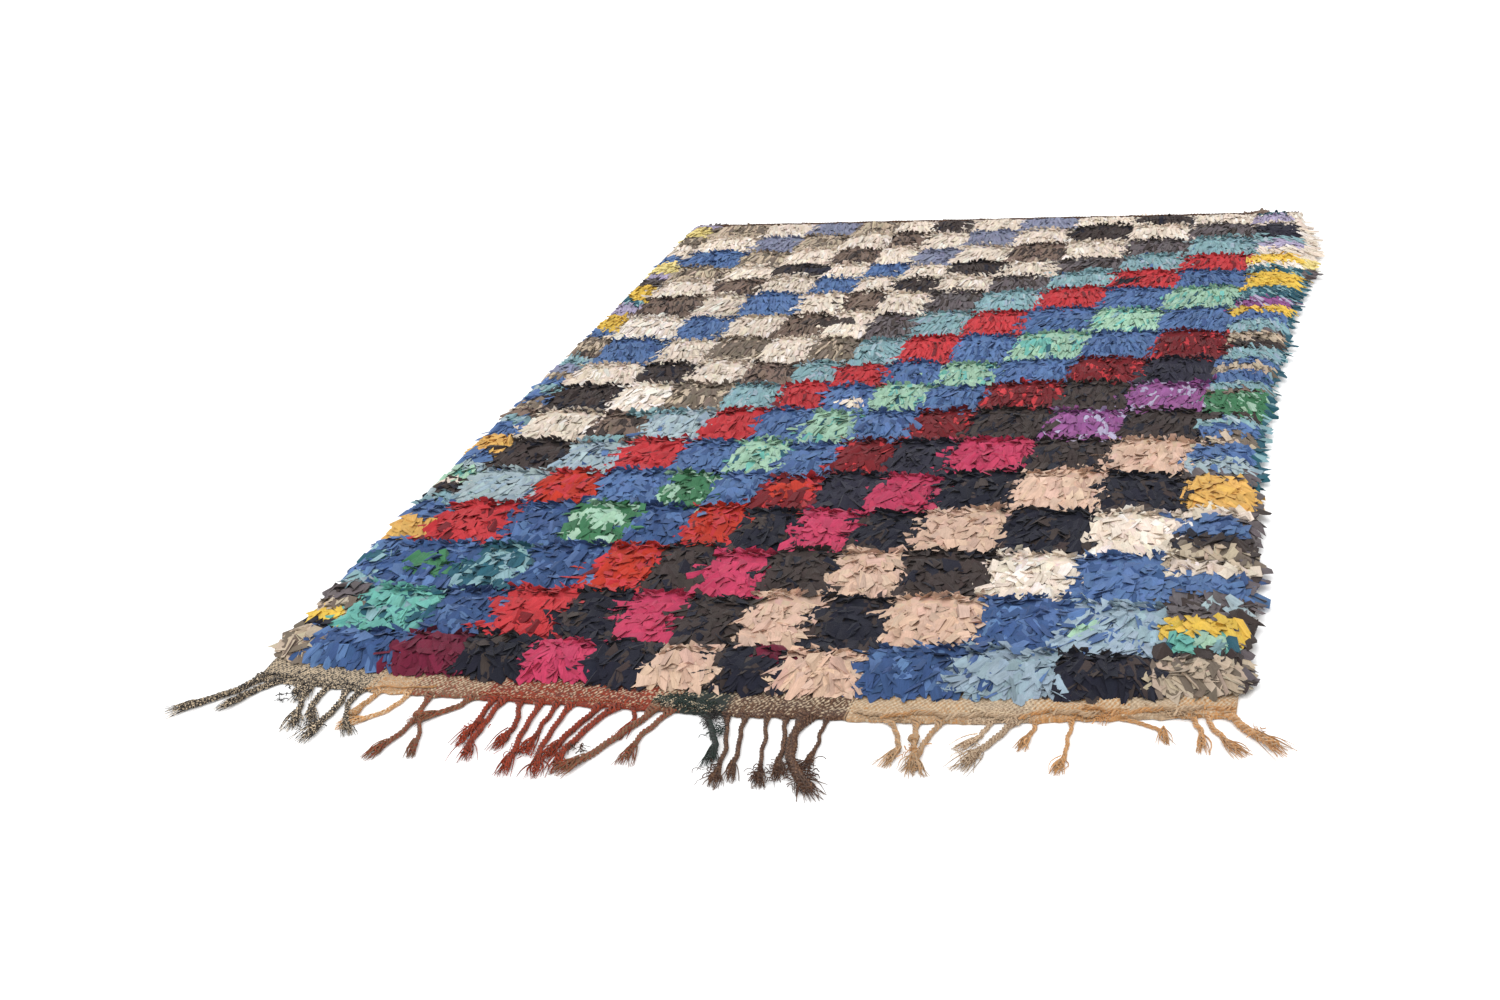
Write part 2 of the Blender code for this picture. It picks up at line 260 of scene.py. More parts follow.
# The warp's zones from left to right, as (x where the zone ends, yarn, its flecks, weft, weft shown).
WARP_ZONES = (
    (-0.500, "black", "cream", "cream", 0.70),
    (-0.435, "gold", "cream", "beige", 0.90),
    (-0.320, "grey brown", "rust", "cream", 0.70),
    (-0.085, "rust", "brown", "cream", 0.42),
    (-0.040, "grey brown", "rust", "cream", 0.85),
    (0.026, "forest", "black", "cream", 0.25),
    (0.190, "brown", "grey brown", "cream", 0.50),
    (0.345, "tan", "gold", "cream", 0.95),
    (0.425, "beige", "grey brown", "cream", 0.95),
    (0.540, "gold", "tan", "cream", 0.90),
    (0.600, "tan", "beige", "cream", 0.90),
    (0.700, "gold", "beige", "cream", 0.95),
)

# Fringe: strands as (x at the root, reach, lean, bow, thickness).
STRANDS = (
    (-0.676, 0.095, -0.080, 0.014, 1.6), (-0.645, 0.072, -0.045, 0.000, 1.5),
    (-0.617, 0.108, 0.050, 0.010, 1.35), (-0.590, 0.034, 0.004, 0.000, 1.3),
    (-0.562, 0.088, 0.016, -0.008, 1.35), (-0.532, 0.128, 0.002, 0.008, 1.4),
    (-0.508, 0.106, 0.030, -0.012, 1.3), (-0.480, 0.066, -0.010, 0.000, 1.1),
    (-0.437, 0.088, -0.052, 0.020, 1.0), (-0.402, 0.154, -0.012, 0.012, 1.2),
    (-0.337, 0.064, -0.054, 0.012, 1.2), (-0.307, 0.105, 0.000, 0.004, 1.2),
    (-0.289, 0.140, 0.002, -0.004, 1.25), (-0.268, 0.109, 0.016, 0.010, 1.2),
    (-0.236, 0.165, 0.016, 0.000, 1.3), (-0.212, 0.117, 0.002, 0.002, 1.1),
    (-0.189, 0.165, 0.012, -0.008, 1.25), (-0.148, 0.127, -0.028, 0.000, 1.35),
    (-0.122, 0.148, -0.034, -0.010, 1.4), (-0.102, 0.064, 0.008, 0.008, 1.0),
    (-0.070, 0.155, -0.070, 0.008, 1.5), (-0.046, 0.120, -0.024, -0.006, 1.2),
    (-0.004, 0.112, 0.046, 0.010, 1.4), (0.030, 0.158, 0.030, 0.006, 1.1),
    (0.056, 0.142, 0.022, 0.000, 1.1), (0.084, 0.153, 0.034, 0.000, 1.0), (0.110, 0.134, 0.024, 0.002, 1.1),
    (0.138, 0.170, 0.048, -0.022, 1.8), (0.146, 0.160, 0.030, -0.026, 1.4),
    (0.164, 0.110, 0.002, 0.002, 0.9), (0.242, 0.094, 0.024, 0.014, 1.15),
    (0.282, 0.112, 0.024, -0.004, 1.2), (0.312, 0.106, -0.018, 0.000, 1.15),
    (0.374, 0.060, -0.024, 0.008, 1.0), (0.408, 0.108, -0.048, 0.000, 1.4),
    (0.432, 0.060, -0.010, 0.002, 0.9), (0.473, 0.114, 0.000, 0.004, 0.9),
    (0.530, 0.042, 0.062, 0.016, 0.8), (0.618, 0.070, 0.018, 0.004, 1.1),
    (0.640, 0.076, 0.040, -0.010, 1.1), (0.662, 0.070, 0.062, -0.006, 1.6),
)
KNOTS = ((-0.600, -1.098), (-0.488, -1.146), (-0.393, -1.139), (-0.298, -1.150), (0.287, -1.125))
KNOT_TAIL = ((-0.393, -1.139), (-0.372, -1.180), (-0.362, -1.224))

# Cords of warp that lie along the woven edge, as (x and distance behind the front edge at one end,
# the same at the other, yarn, thickness, height off the floor).
CORDS = (
    (-0.680, 0.006, -0.610, -0.001, "black", 1.0, 0.0030),
    (-0.600, 0.002, -0.520, -0.002, "black", 0.9, 0.0010),
    (-0.400, 0.012, -0.505, -0.008, "gold", 0.5, 0.0045),
    (-0.330, 0.003, -0.240, -0.002, "rust", 0.9, 0.0020),
    (-0.240, 0.004, -0.150, -0.002, "rust", 0.9, 0.0020),
    (-0.170, 0.004, -0.090, -0.002, "rust", 0.9, 0.0020),
    (-0.075, 0.012, -0.010, 0.002, "forest", 1.5, 0.0045),
    (-0.060, 0.004, 0.012, -0.006, "black", 1.6, 0.0030),
    (-0.050, 0.009, 0.004, -0.008, "forest", 1.5, 0.0060),
    (0.200, 0.005, 0.262, -0.002, "beige", 1.3, 0.0040),
    (0.236, -0.004, 0.300, 0.008, "gold", 1.1, 0.0050),
    (0.276, 0.008, 0.330, -0.004, "tan", 1.3, 0.0040),
    (0.318, -0.005, 0.372, 0.006, "beige", 1.4, 0.0040),
    (0.346, 0.012, 0.402, 0.001, "cream", 1.0, 0.0050),
    (0.368, 0.002, 0.424, -0.006, "beige", 1.4, 0.0035),
    (0.410, -0.004, 0.462, 0.010, "gold", 1.1, 0.0050),
    (0.448, 0.004, 0.508, -0.004, "tan", 1.4, 0.0040),
    (0.486, 0.012, 0.540, 0.000, "gold", 1.1, 0.0050),
    (0.520, -0.003, 0.584, 0.004, "gold", 1.4, 0.0040),
    (0.560, 0.010, 0.612, -0.003, "tan", 1.2, 0.0050),
    (0.596, -0.002, 0.648, 0.009, "beige", 1.4, 0.0040),
    (0.630, 0.004, 0.668, 0.000, "gold", 1.3, 0.0045),
)
# Clumps of loose, curled threads, as (x, y, spread across, spread along, yarn, lowest height, threads).
TANGLES = (
    (-0.606, -1.105, 0.014, 0.012, "black", 0.003, 24),
    (-0.536, -1.180, 0.012, 0.012, "black", 0.003, 20),
    (-0.300, -1.160, 0.016, 0.014, "rust", 0.003, 26),
    (-0.215, -1.205, 0.020, 0.012, "rust", 0.003, 26),
    (-0.140, -1.190, 0.012, 0.014, "brown", 0.003, 18),
    (-0.050, -1.066, 0.014, 0.007, "forest", 0.007, 90),
    (-0.028, -1.070, 0.014, 0.008, "forest", 0.009, 110),
    (-0.004, -1.076, 0.012, 0.008, "forest", 0.008, 110),
    (0.014, -1.100, 0.008, 0.014, "black", 0.004, 60),
    (0.030, -1.130, 0.006, 0.016, "forest", 0.003, 40),
    (0.050, -1.220, 0.008, 0.014, "brown", 0.003, 24),
    (0.112, -1.222, 0.008, 0.016, "brown", 0.003, 36),
    (0.136, -1.205, 0.008, 0.018, "brown", 0.003, 40),
    (0.160, -1.200, 0.010, 0.018, "brown", 0.004, 90),
    (0.172, -1.226, 0.008, 0.018, "brown", 0.003, 70),
    (0.290, -1.150, 0.010, 0.010, "gold", 0.003, 20),
    (0.245, -1.080, 0.020, 0.004, "tan", 0.003, 30),
    (0.360, -1.140, 0.012, 0.010, "beige", 0.003, 20),
    (0.392, -1.064, 0.022, 0.005, "beige", 0.004, 40),
    (0.500, -1.048, 0.026, 0.005, "gold", 0.004, 40),
    (0.610, -1.030, 0.030, 0.005, "tan", 0.004, 40),
    (0.690, -1.062, 0.014, 0.010, "gold", 0.003, 20),
)

# Rag strips
RAG_SECTIONS = 3
RAG_SIDES = 3
RAG_THICKNESS = 0.0008
RAG_TOP = 0.034
RAG_FOOT = 0.0006
ROOT_Z = 0.003
FINE_FROM = -0.50  # from here to FINE_AT the rags turn from wide to fine
FINE_AT = 0.20
# Each pair is for the rags in front and at the back.
RAG_PITCH = (0.0025, 0.0015)
RAG_WIDTH = (0.0195, 0.0080)
RAG_REACH = (0.031, 0.033)
RAG_SPREAD = (0.42, 0.20)  # how far headings stray
RAG_ROLL = (0.22, 0.35)
RAG_POINT = (0.18, 0.35)  # how far a tip is drawn out to a point, as a share of the width
DROOP = (0.20, 0.28)  # how much lower the foot of a row of rags is than its ridge, as a share
# Widths of a strip at its root, knee and tip, as shares.
WIDE_RAG = (0.6, 1.0, 0.85)
SPIKY_RAG = (0.75, 1.0, 0.8)
# How much single rags differ.
WIDTHS = (0.65, 1.3)
REACHES = (0.7, 1.25)
UNEVEN = 0.1
TWIST = 0.12
TURNED_OVER = 0.4  # share of rags that lie on their other face
FOLD = 0.3
SLANT = 0.35
MOST_SLANT = 0.6
POINT_SPREAD = 0.25
POINTS = (-0.3, 0.6)
CLOTH_LENGTH = 0.03
CLOTH_SPAN = 5.0
KNEE = 0.25  # where a strip stops rising and lies down, as a share of its reach
KNEE_RISE = (0.97, 0.045)  # mean and spread of a knee's height, as shares of the pile's
TIP_SPREAD = 0.04
LIFT = 0.0008  # tips lie this far above the pile that they cover
STAND_UP = 0.08  # how much higher upright tips are
UPRIGHT_KNEE = 0.4  # how much lower upright knees are
SHORTEST = 0.25  # the least share of its reach that an upright rag covers
PROUD = 0.02  # share of rags that stand up out of the pile
PROUD_REACH = 0.6
PROUD_RISE = 1.25
EDGE_RAGS = 0.02  # rags this near the sides are shorter
EDGE_REACH = 0.75
RAG_FADING = (0.075, 0.022)  # spread of the rags' shades and tints
BLOCK_FADING = 0.05
MOST_FADING = 2.2  # a rag fades by at most this many spreads

# How blocks stray. A wave is (height, its turn with the first place, with the second, start).
WOBBLE = 0.005  # how far a block's edge strays from its line
WOBBLES = ((0.35, 61, 23, 1), (0.35, -31, 47, 2), (0.3, 131, -97, 3))
EDGE_PHASE = 0.7  # each kind of edge strays with its own phase
RIM_PHASE = 2.2
STRIPE_PHASE = 4.1
SET_FORWARDS = 0.005  # how far blocks lie in front of where their tall backs make them show
SCALLOP = 0.009  # how far a block's front bulges forwards in its middle
SCALLOP_MEAN = 0.6
MISFIT = 0.008  # how far neighbouring rows and columns of blocks miss each other
ROW_WAVES = ((0.005, 5.3, 11, 0), (0.004, 17, -13, 0))
ROW_STRAYS = ((0.12, 37, 2.1, 0), (0.08, 83, -1.3, 0))
CLUMPS = ((0.5, 97, 41, 0), (0.5, -57, 73, 1.3))
DRIFT_AT = 0.2  # columns right of this drift in full
SET_BACK_AT = 0.15  # rows right of this lie further back, and in full this far beyond it

# The pile's form
FRONT_FACE = 0.40  # share of a block's depth in which the pile rises from its front
BACK_FACE = 0.08  # the same for its fall at the back
CROWN_POWER = 0.6  # how blunt a block is across
RIM_SLOPE = 0.014  # the pile rises from its rim in this distance
BACK_SLOPE = 0.050  # the same at the back end
# Rows of knots: places in a row are shares of the way from its front to its back.
KNOT_ROW = 0.033
ROOTS = 0.9
RIDGE = 0.68
ROW_SCATTER = 0.45
KNOT_SCATTER = 0.45
KNOT_SPAN = (-0.74, 0.76)  # beyond both sides
SIDE_INSET = 0.003
FRONT_INSET = 0.004
BACK_INSET = 0.002
# Rags at the very front, which hang down over the woven end.
SKIRT_PITCH = 0.0048
SKIRT_INSET = 0.006
SKIRT_ROOTS = (0.006, 0.016)
SKIRT_REACHES = (0.4, 1.0)
SKIRT_WIDTH = 0.75
SKIRT_SPREAD = 0.7
SKIRT_Z = 0.006
SKIRT_DROP = 0.010  # tips sink to SKIRT_Z in this distance beyond the front
# Tufts that stick out behind the rug.
TUFT_SPREAD = (0.006, 0.3)  # across, and along as a share of it
TUFT_LEAN = (0.5, 0.8)  # spread across, and lean along
# The dense inner pile that fills the gaps between the rags.
BED_CELL = 0.0075
BED_SHARE = 0.96
BED_INSET = 0.005
BED_FRONT = 0.010
BED_SCATTER = 0.3
BED_ROUGHNESS = 0.0010
# The bed's colours are darkened by this share: painted shade in the gaps between the rags.
BED_PAINTED_SHADE = 0.95
BED_FADING = 0.05
# Leans: headings are angles from straight forwards.
FAN = 0.28  # how far rags at a block's sides turn outwards
BLOCK_LEAN = 0.2
BORDER_TURN = (-0.35, 0.4)  # at the left and at the right
UPRIGHT_FROM = 0.65  # share of a block's depth from which its rags rise, to stand at its rear
STRAIGHTER = 0.65  # how much less those at the rear turn sideways
LAST_RISING = 0.3  # how much of that the rags of the last row do
# Pale rags at the back also cover the front of a darker block behind them.
PALE = ("cream", "white", "teal")
DARK = ("black", "brown", "grey brown", "charcoal", "taupe")
PALE_FROM = 0.1
PALE_SPREAD = 0.011
ROOT_SHIFT = 0.014  # how far a block's roots lie behind where it shows
STRIPE_SHIFT = 0.6  # the same for a border's stripes, as a share of the reach

# Weave of the ground
WARP_STEP = 0.0034
WEFT_STEP = 0.0050
STRIP_ROWS = 4  # half weft steps in the strip from which the fringe hangs
WOVEN_ROWS = 27
HEM_ROWS = 5
HEM_SHADE = 0.45
TUCKED_ROWS = 3  # rows of the woven end that overlap the cloth behind it
WEAVE_RELIEF = 0.0011
SHALLOW = 0.35  # relief between two crossings, as a share
WEAVE_BASE = 0.0028
WEAVE_FOOT = 0.0002
UNDER_RELIEF = 0.3
EDGE_WAVES = ((0.0012, 83, 0, 0), (0.0008, 211, 0, 1))
WEAVE_WAVES = ((0.0007, 190, 60, 0), (0.0005, 430, -90, 0))
LUMP = 0.0006
LUMP_WAVES = ((57, 31), (-23, 140))
LUMPIER = 2.5  # how much more lumpy the woven end is at the right
LUMPIER_AT = 0.4  # in full from here on
ZONE_STRAY = 0.004  # how far warp ends stray from their zone
# Tones are ranges in which each thread is darker or paler than its wool.
WARP_TONES = (0.75, 1.2)
CROSSING_TONES = (0.8, 1.1)
STRAND_TONES = (0.8, 1.15)
CORD_TONES = (0.85, 1.15)
END_CORD_TONES = (0.8, 1.2)
# How much of the weft shows: at the front, more with each row, and its range.
WEFT_AT_FRONT = 0.4
WEFT_GAIN = 0.06
WEFT_RANGE = (0.2, 1.0)
WEFT_FLECKS = 0.85
CORNER = 0.016
CORNER_ROUND = 0.9
BACK_KNOT = 0.012  # a knot's back on the underside
BACK_CELL = 0.017
BACK_FOOT = 0.0004
UNDER_INSET = 0.002
# Cords of warp ends that finish the back end.
END_CORDS = 16
END_CORD = 0.11  # length of a cord at the back end
END_CORD_THICK = 0.009
END_CORD_BEHIND = 0.005
END_CORD_WAVES = ((0.0016, 70, 400, 0),)

# Yarns of the fringe
PLIES = 3
PLY = 0.54  # a ply's radius, as a share of its strand's
PLY_SPREAD = 0.6  # how far it goes to each side, as such a share
PLY_HEIGHT = 1.05
PLY_RISE = 0.5
PLY_STATIONS = 26
PLY_SIDES = 4
TWIST_LENGTH = 0.022  # a strand turns once in this length
# How much plies part at the root, loosen at the tip and thin there, and in what share of the length.
ROOT_PARTING = (1.3, 0.16)
TIP_LOOSENING = (0.8, 0.3)
TIP_THINNING = (0.5, 0.2)
STRAND_WAVES = ((0.0016, 9), (0.0010, 21))
TAIL_TURNS = 4.0
FRAYS = 20
FRAY_STATIONS = 6
FRAY_SIDES = 3
FRAY_LENGTH = (0.016, 0.042)
FRAY_BEHIND = 0.72  # share of a fray that lies along its strand
FRAY_BEYOND = 0.4
FRAY_BOW = 0.0026
FRAY_CURLS = (0.6, 1.6)
FRAY_HEIGHTS = (0.35, 2.0)
FRAY_FOOT = 0.0006
FRAY_THICK = 0.00115
FRAY_TAPER = 0.72
FRAY_FAN = (0.5, 1.3, 0.7)  # how far frays part at once, how much more at the tip, and a power
FRAY_SINK = (0.7, 1.5)  # how much a fray sinks to the floor, as a share, and a power
FRAY_SIZES = (0.7, 1.3)
CORD_STATIONS = 18
CORD_STRAY = 0.0022
CORD_WAVES = ((1, 7, 40, 0), (0.8, 15, 70, 0))
TANGLE_STATIONS = 6
TANGLE_LENGTH = (0.008, 0.019)
TANGLE_THICK = 0.0007
TANGLE_SIZES = (0.6, 1.3)
TANGLE_TONES = (0.7, 1.3)
TANGLE_RISE = 0.004
TANGLE_DEPTH = 0.003
TANGLE_SPREAD = 0.6
TANGLE_CURL = 0.6
KNOT_STATIONS = 24
KNOT_TURNS = 2.3
KNOT_ACROSS = 0.0054
KNOT_ALONG = 0.0080
KNOT_UP = 0.0030
KNOT_Z = 0.0058
KNOT_YARN = 0.0027
FLOOR_GAP = 0.0001
TINY = 1e-9


def linear(colour):
    """An sRGB colour of 0 to 255 in linear light."""
    share = np.asarray(colour, float) / 255
    return np.where(share <= 0.04045, share / 12.92, ((share + 0.055) / 1.055) ** 2.4)


def along(table, at):
    """The table's values at these places, with its corners rounded."""
    places, values = zip(*table)
    at = np.asarray(at, float)
    return sum(np.interp(at + shift, places, values) for shift in (-SOFTEN, 0, SOFTEN)) / 3


def entry_at(table, at):
    """Which entry each place is in, in a table whose entries begin with where they end."""
    return np.minimum(np.searchsorted([entry[0] for entry in table], at), len(table) - 1)


def ripples(table, x, y, phase=1.0):
    """A sum of waves. Their starts grow with the phase."""
    return sum(height * np.sin(by_x * x + by_y * y + start * phase) for height, by_x, by_y, start in table)


def seeded(number):
    return np.random.default_rng([SEED, number])


def from_left(share, y, inset=0.0):
    """Places this share of the way from the left edge to the right one."""
    left, right = along(LEFT_EDGE, y) + inset, along(RIGHT_EDGE, y) - inset
    return left + (right - left) * share


def to_side(x, y):
    """How far the nearer side edge is."""
    return np.minimum(x - along(LEFT_EDGE, y), along(RIGHT_EDGE, y) - x)


# Meshes

NO_CORNER = -1
# The end of a tube, by its sides.
END_FACES = {3: ((0, 1, 2, NO_CORNER),), 4: ((0, 1, 2, 3),)}
MAP_MARGIN = 0.06


def shifted(faces, offset):
    return np.where(faces == NO_CORNER, NO_CORNER, faces + offset)


def mesh_object(name, points, faces, material):
    """A mesh of four-sided faces, and of triangles where a face's fourth entry is NO_CORNER."""
    corners = faces[faces != NO_CORNER]
    sizes = (faces != NO_CORNER).sum(axis=1)
    mesh = bpy.data.meshes.new(name)
    mesh.vertices.add(len(points))
    mesh.vertices.foreach_set("co", np.ascontiguousarray(points, np.float32).ravel())
    mesh.loops.add(len(corners))
    mesh.loops.foreach_set("vertex_index", corners.astype(np.int32))
    mesh.polygons.add(len(faces))
    mesh.polygons.foreach_set("loop_start", (np.cumsum(sizes) - sizes).astype(np.int32))
    mesh.update(calc_edges=True)
    mesh.materials.append(material)
    obj = bpy.data.objects.new(name, mesh)
    bpy.context.scene.collection.objects.link(obj)
    return obj


def paint(obj, name, colours):
    """Gives each corner of each face its own colour."""
    layer = obj.data.color_attributes.new(name=name, type="FLOAT_COLOR", domain="CORNER")
    rgba = np.ones((len(colours), 4), np.float32)
    rgba[:, :3] = colours
    layer.data.foreach_set("color", rgba.ravel())


def place_on_cloth(obj, places):
    """Gives each point its place on its own piece of cloth or yarn, in metres."""
    layer = obj.data.attributes.new(name="cloth", type="FLOAT_VECTOR", domain="POINT")
    layer.data.foreach_set("vector", np.ascontiguousarray(places, np.float32).ravel())


def ring_faces(count, sections, sides):
    """Faces of count closed tubes, each of so many sections and of three or four sides."""
    ring = np.arange(sides)
    step = np.arange(sections - 1)[:, None] * sides
    here = step + ring
    following = step + (ring + 1) % sides
    walls = np.stack([here, following, following + sides, here + sides], axis=-1).reshape(-1, 4)
    end = np.array(END_FACES[sides])
    order = [2, 1, 0, 3] if sides == 3 else [3, 2, 1, 0]
    one = np.vstack([walls, end[:, order], shifted(end, (sections - 1) * sides)])
    return shifted(one, np.arange(count)[:, None, None] * sections * sides).reshape(-1, 4)


def grid_faces(rows, columns, offset=0):
    """Faces of a grid of points, counted along its columns first."""
    start = offset + np.arange(rows - 1)[:, None] * columns + np.arange(columns - 1)
    return np.stack([start, start + 1, start + columns + 1, start + columns], axis=-1).reshape(-1, 4)


def bake_map(piece, places):
    """Lays a piece's faces out flat with room for each, as one place a corner."""
    layer = piece.data.uv_layers.new(name="OFBake")
    layer.data.foreach_set("uv", np.ascontiguousarray(places, np.float32).ravel())


def strip_map(count, sections, sides):
    """Places for the corners of ring_faces of three sides: a cell a strip, its walls side by side."""
    columns, rows = sides + 0.5, sections - 1
    cell = []
    for row in range(rows):
        for column in range(sides):
            cell += [(column, row), (column + 1, row), (column + 1, row + 1), (column, row + 1)]
    for foot in (0, 0.5 * rows):
        cell += [(sides, foot), (columns, foot), (columns, foot + 0.5 * rows)]
    cell = np.array(cell) / [columns, rows]
    grid = math.ceil(math.sqrt(count))
    number = np.arange(count)
    corner = np.stack([number % grid, number // grid], axis=1)[:, None]
    return ((corner + MAP_MARGIN + (1 - 2 * MAP_MARGIN) * cell) / grid).reshape(-1, 2)


def unit(vectors, least=0.0):
    """These vectors, each with a length of one. A least length keeps those of no length finite."""
    return vectors / (np.linalg.norm(vectors, axis=-1, keepdims=True) + least)


def to_right(forward):
    """Level vectors square to these."""
    return np.stack([forward[..., 1], -forward[..., 0]], axis=-1)


def tubes(paths, radii, sides):
    """Points of round tubes along level-ish paths, as (tube, station, side) with one radius a station."""
    forward = unit(np.gradient(paths, axis=1), TINY)
    side = unit(np.cross(forward, np.array([0.0, 0.0, 1.0])), TINY)
    up = np.cross(side, forward)
    angle = 2 * math.pi * (np.arange(sides) + 0.5) / sides
    ring = np.cos(angle)[:, None] * side[:, :, None] + np.sin(angle)[:, None] * up[:, :, None]
    return paths[:, :, None] + ring * radii[:, :, None, None]


class Parts:
    """Gathers the points, faces and colours of a piece before its mesh is made."""

    def __init__(self):
        self.points = []
        self.faces = []
        self.colours = []
        self.flecks = []
        self.cloth = []
        self.kinds = []
        self.count = 0

    def add(self, points, faces, colours, flecks=None, cloth=None, kind=0):
        """Colours are one a point or, where there are as many as faces, one a face."""
        points = points.reshape(-1, 3)
        used = faces != NO_CORNER
        for layer, values in ((self.colours, colours), (self.flecks, colours if flecks is None else flecks)):
            one_a_face = len(values) == len(faces)
            layer.append(np.repeat(values, used.sum(axis=1), axis=0) if one_a_face else values[faces[used]])
        self.points.append(points)
        self.faces.append(shifted(faces, self.count))
        self.cloth.append(np.zeros_like(points) if cloth is None else cloth.reshape(-1, 3))
        self.kinds.append(np.full(len(faces), kind))
        self.count += len(points)

    def add_tubes(self, lines, radii, sides, layers):
        """Adds tubes that stay above the floor, with one colour, or a colour and flecks, for each."""
        points = tubes(lines, radii, sides)
        points[..., 2] = np.maximum(points[..., 2], FLOOR_GAP)
        count, stations = lines.shape[:2]
        own = [np.repeat(layer, stations * sides, axis=0) for layer in layers]
        self.add(points, ring_faces(count, stations, sides), *own)

    def build(self, name, materials, angle=50):
        """Makes the mesh, whose faces are smooth where they meet at less than the angle."""
        points = np.concatenate(self.points)
        piece = mesh_object(name, points, np.concatenate(self.faces), materials[0])
        for material in materials[1:]:
            piece.data.materials.append(material)
        piece.data.polygons.foreach_set("material_index", np.concatenate(self.kinds).astype(np.int32))
        paint(piece, "rag", np.concatenate(self.colours))
        paint(piece, "fleck", np.concatenate(self.flecks))
        place_on_cloth(piece, np.concatenate(self.cloth))
        piece.data.shade_smooth()
        piece.data.set_sharp_from_angle(angle=math.radians(angle))
        return piece


# Materials

SPECULAR = 0.2
SHEEN_ROUGHNESS = 0.5
NOISE_RANGE = (0.3, 0.7)  # where the values of a noise mostly lie
FULL = (0.0, 1.0)


def new_material(name, roughness, sheen):
    material = bpy.data.materials.new(name)
    material.use_nodes = True
    shader = material.node_tree.nodes["Principled BSDF"]
    shader.inputs["Roughness"].default_value = roughness
    shader.inputs["Specular IOR Level"].default_value = SPECULAR
    shader.inputs["Sheen Weight"].default_value = sheen
    shader.inputs["Sheen Roughness"].default_value = SHEEN_ROUGHNESS
    return material, shader


def node(material, kind, **settings):
    made = material.node_tree.nodes.new(kind)
    for name, value in settings.items():
        if name in made.inputs:
            made.inputs[name].default_value = value
        else:
            setattr(made, name, value)
    return made


def wire(material, start, end):
    material.node_tree.links.new(start, end)


def attribute(material, name, output="Color"):
    return node(material, "ShaderNodeAttribute", attribute_name=name).outputs[output]


def object_place(material):
    return node(material, "ShaderNodeTexCoord").outputs["Object"]


def noise(material, vector, scale, detail=3.0, roughness=0.6):
    made = node(material, "ShaderNodeTexNoise", Scale=scale, Detail=detail, Roughness=roughness)
    wire(material, vector, made.inputs["Vector"])
    return made.outputs["Fac"]


def wave(material, vector, direction, scale, distortion):
    made = node(material, "ShaderNodeTexWave", bands_direction=direction, Scale=scale, Distortion=distortion)
    wire(material, vector, made.inputs["Vector"])
    return made.outputs["Fac"]


def ramp(material, value, known, wanted=FULL):
    """The value moved from its known range to the wanted one."""
    made = node(material, "ShaderNodeMapRange")
    for socket, number in zip(("From Min", "From Max", "To Min", "To Max"), (*known, *wanted)):
        made.inputs[socket].default_value = number
    wire(material, value, made.inputs["Value"])
    return made.outputs["Result"]


def math_node(material, operation, first, second):
    made = node(material, "ShaderNodeMath", operation=operation)
    for socket, value in zip(made.inputs, (first, second)):
        if isinstance(value, (int, float)):
            socket.default_value = value
        else:
            wire(material, value, socket)
    return made.outputs["Value"]


def mixed_colour(material, share, first, second):
    """A colour between two, each a node's output or a plain colour."""
    made = node(material, "ShaderNodeMix", data_type="RGBA")
    wire(material, share, made.inputs["Factor"])
    for name, colour in (("A", first), ("B", second)):
        if isinstance(colour, bpy.types.NodeSocket):
            wire(material, colour, made.inputs[name])
        else:
            made.inputs[name].default_value = (*colour, 1)
    return made.outputs["Result"]


def tinted(material, colour, shade):
    """A colour made darker or lighter by a number around one."""
    made = node(material, "ShaderNodeVectorMath", operation="SCALE")
    wire(material, colour, made.inputs[0])
    wire(material, shade, made.inputs["Scale"])
    return made.outputs["Vector"]


def bump(material, height, distance, strength, under=None):
    made = node(material, "ShaderNodeBump", Strength=strength, Distance=distance)
    wire(material, height, made.inputs["Height"])
    if under is not None:
        wire(material, under, made.inputs["Normal"])
    return made.outputs["Normal"]


def rag_material(name, roughness, sheen):
    """Worn cotton cloth: fine threads both ways, creases with painted shade along their folds, faded and
    rubbed patches.
    """
    material, shader = new_material(name, roughness, sheen)
    colour = attribute(material, "rag")
    cloth = attribute(material, "cloth", "Vector")
    place = object_place(material)
    threads = [wave(material, cloth, direction, 260.0, 2.0) for direction in ("X", "Y")]
    weave = math_node(material, "MULTIPLY", *threads)
    stretched = node(material, "ShaderNodeVectorMath", operation="MULTIPLY")
    wire(material, cloth, stretched.inputs[0])
    stretched.inputs[1].default_value = (1.0, 0.16, 1.0)
    streaks = noise(material, stretched.outputs["Vector"], 480.0, 3.0, 0.65)
    fading = ramp(material, noise(material, place, 45.0), NOISE_RANGE, (0.77, 0.97))
    # The streaks also darken the colour along each rag's folds: painted shade in its creases.
    shade = math_node(material, "MULTIPLY", fading, ramp(material, streaks, (0.35, 0.6), (0.88, 1.05)))
    threaded = math_node(material, "MULTIPLY", shade, ramp(material, weave, FULL, (0.94, 1.04)))
    wire(material, tinted(material, colour, threaded), shader.inputs["Base Color"])
    creases = bump(material, noise(material, place, 170.0, 4.0, 0.7), 0.0016, 0.8)
    folds = bump(material, streaks, 0.0012, 0.5, creases)
    wire(material, bump(material, weave, 0.0004, 0.5, folds), shader.inputs["Normal"])
    return material


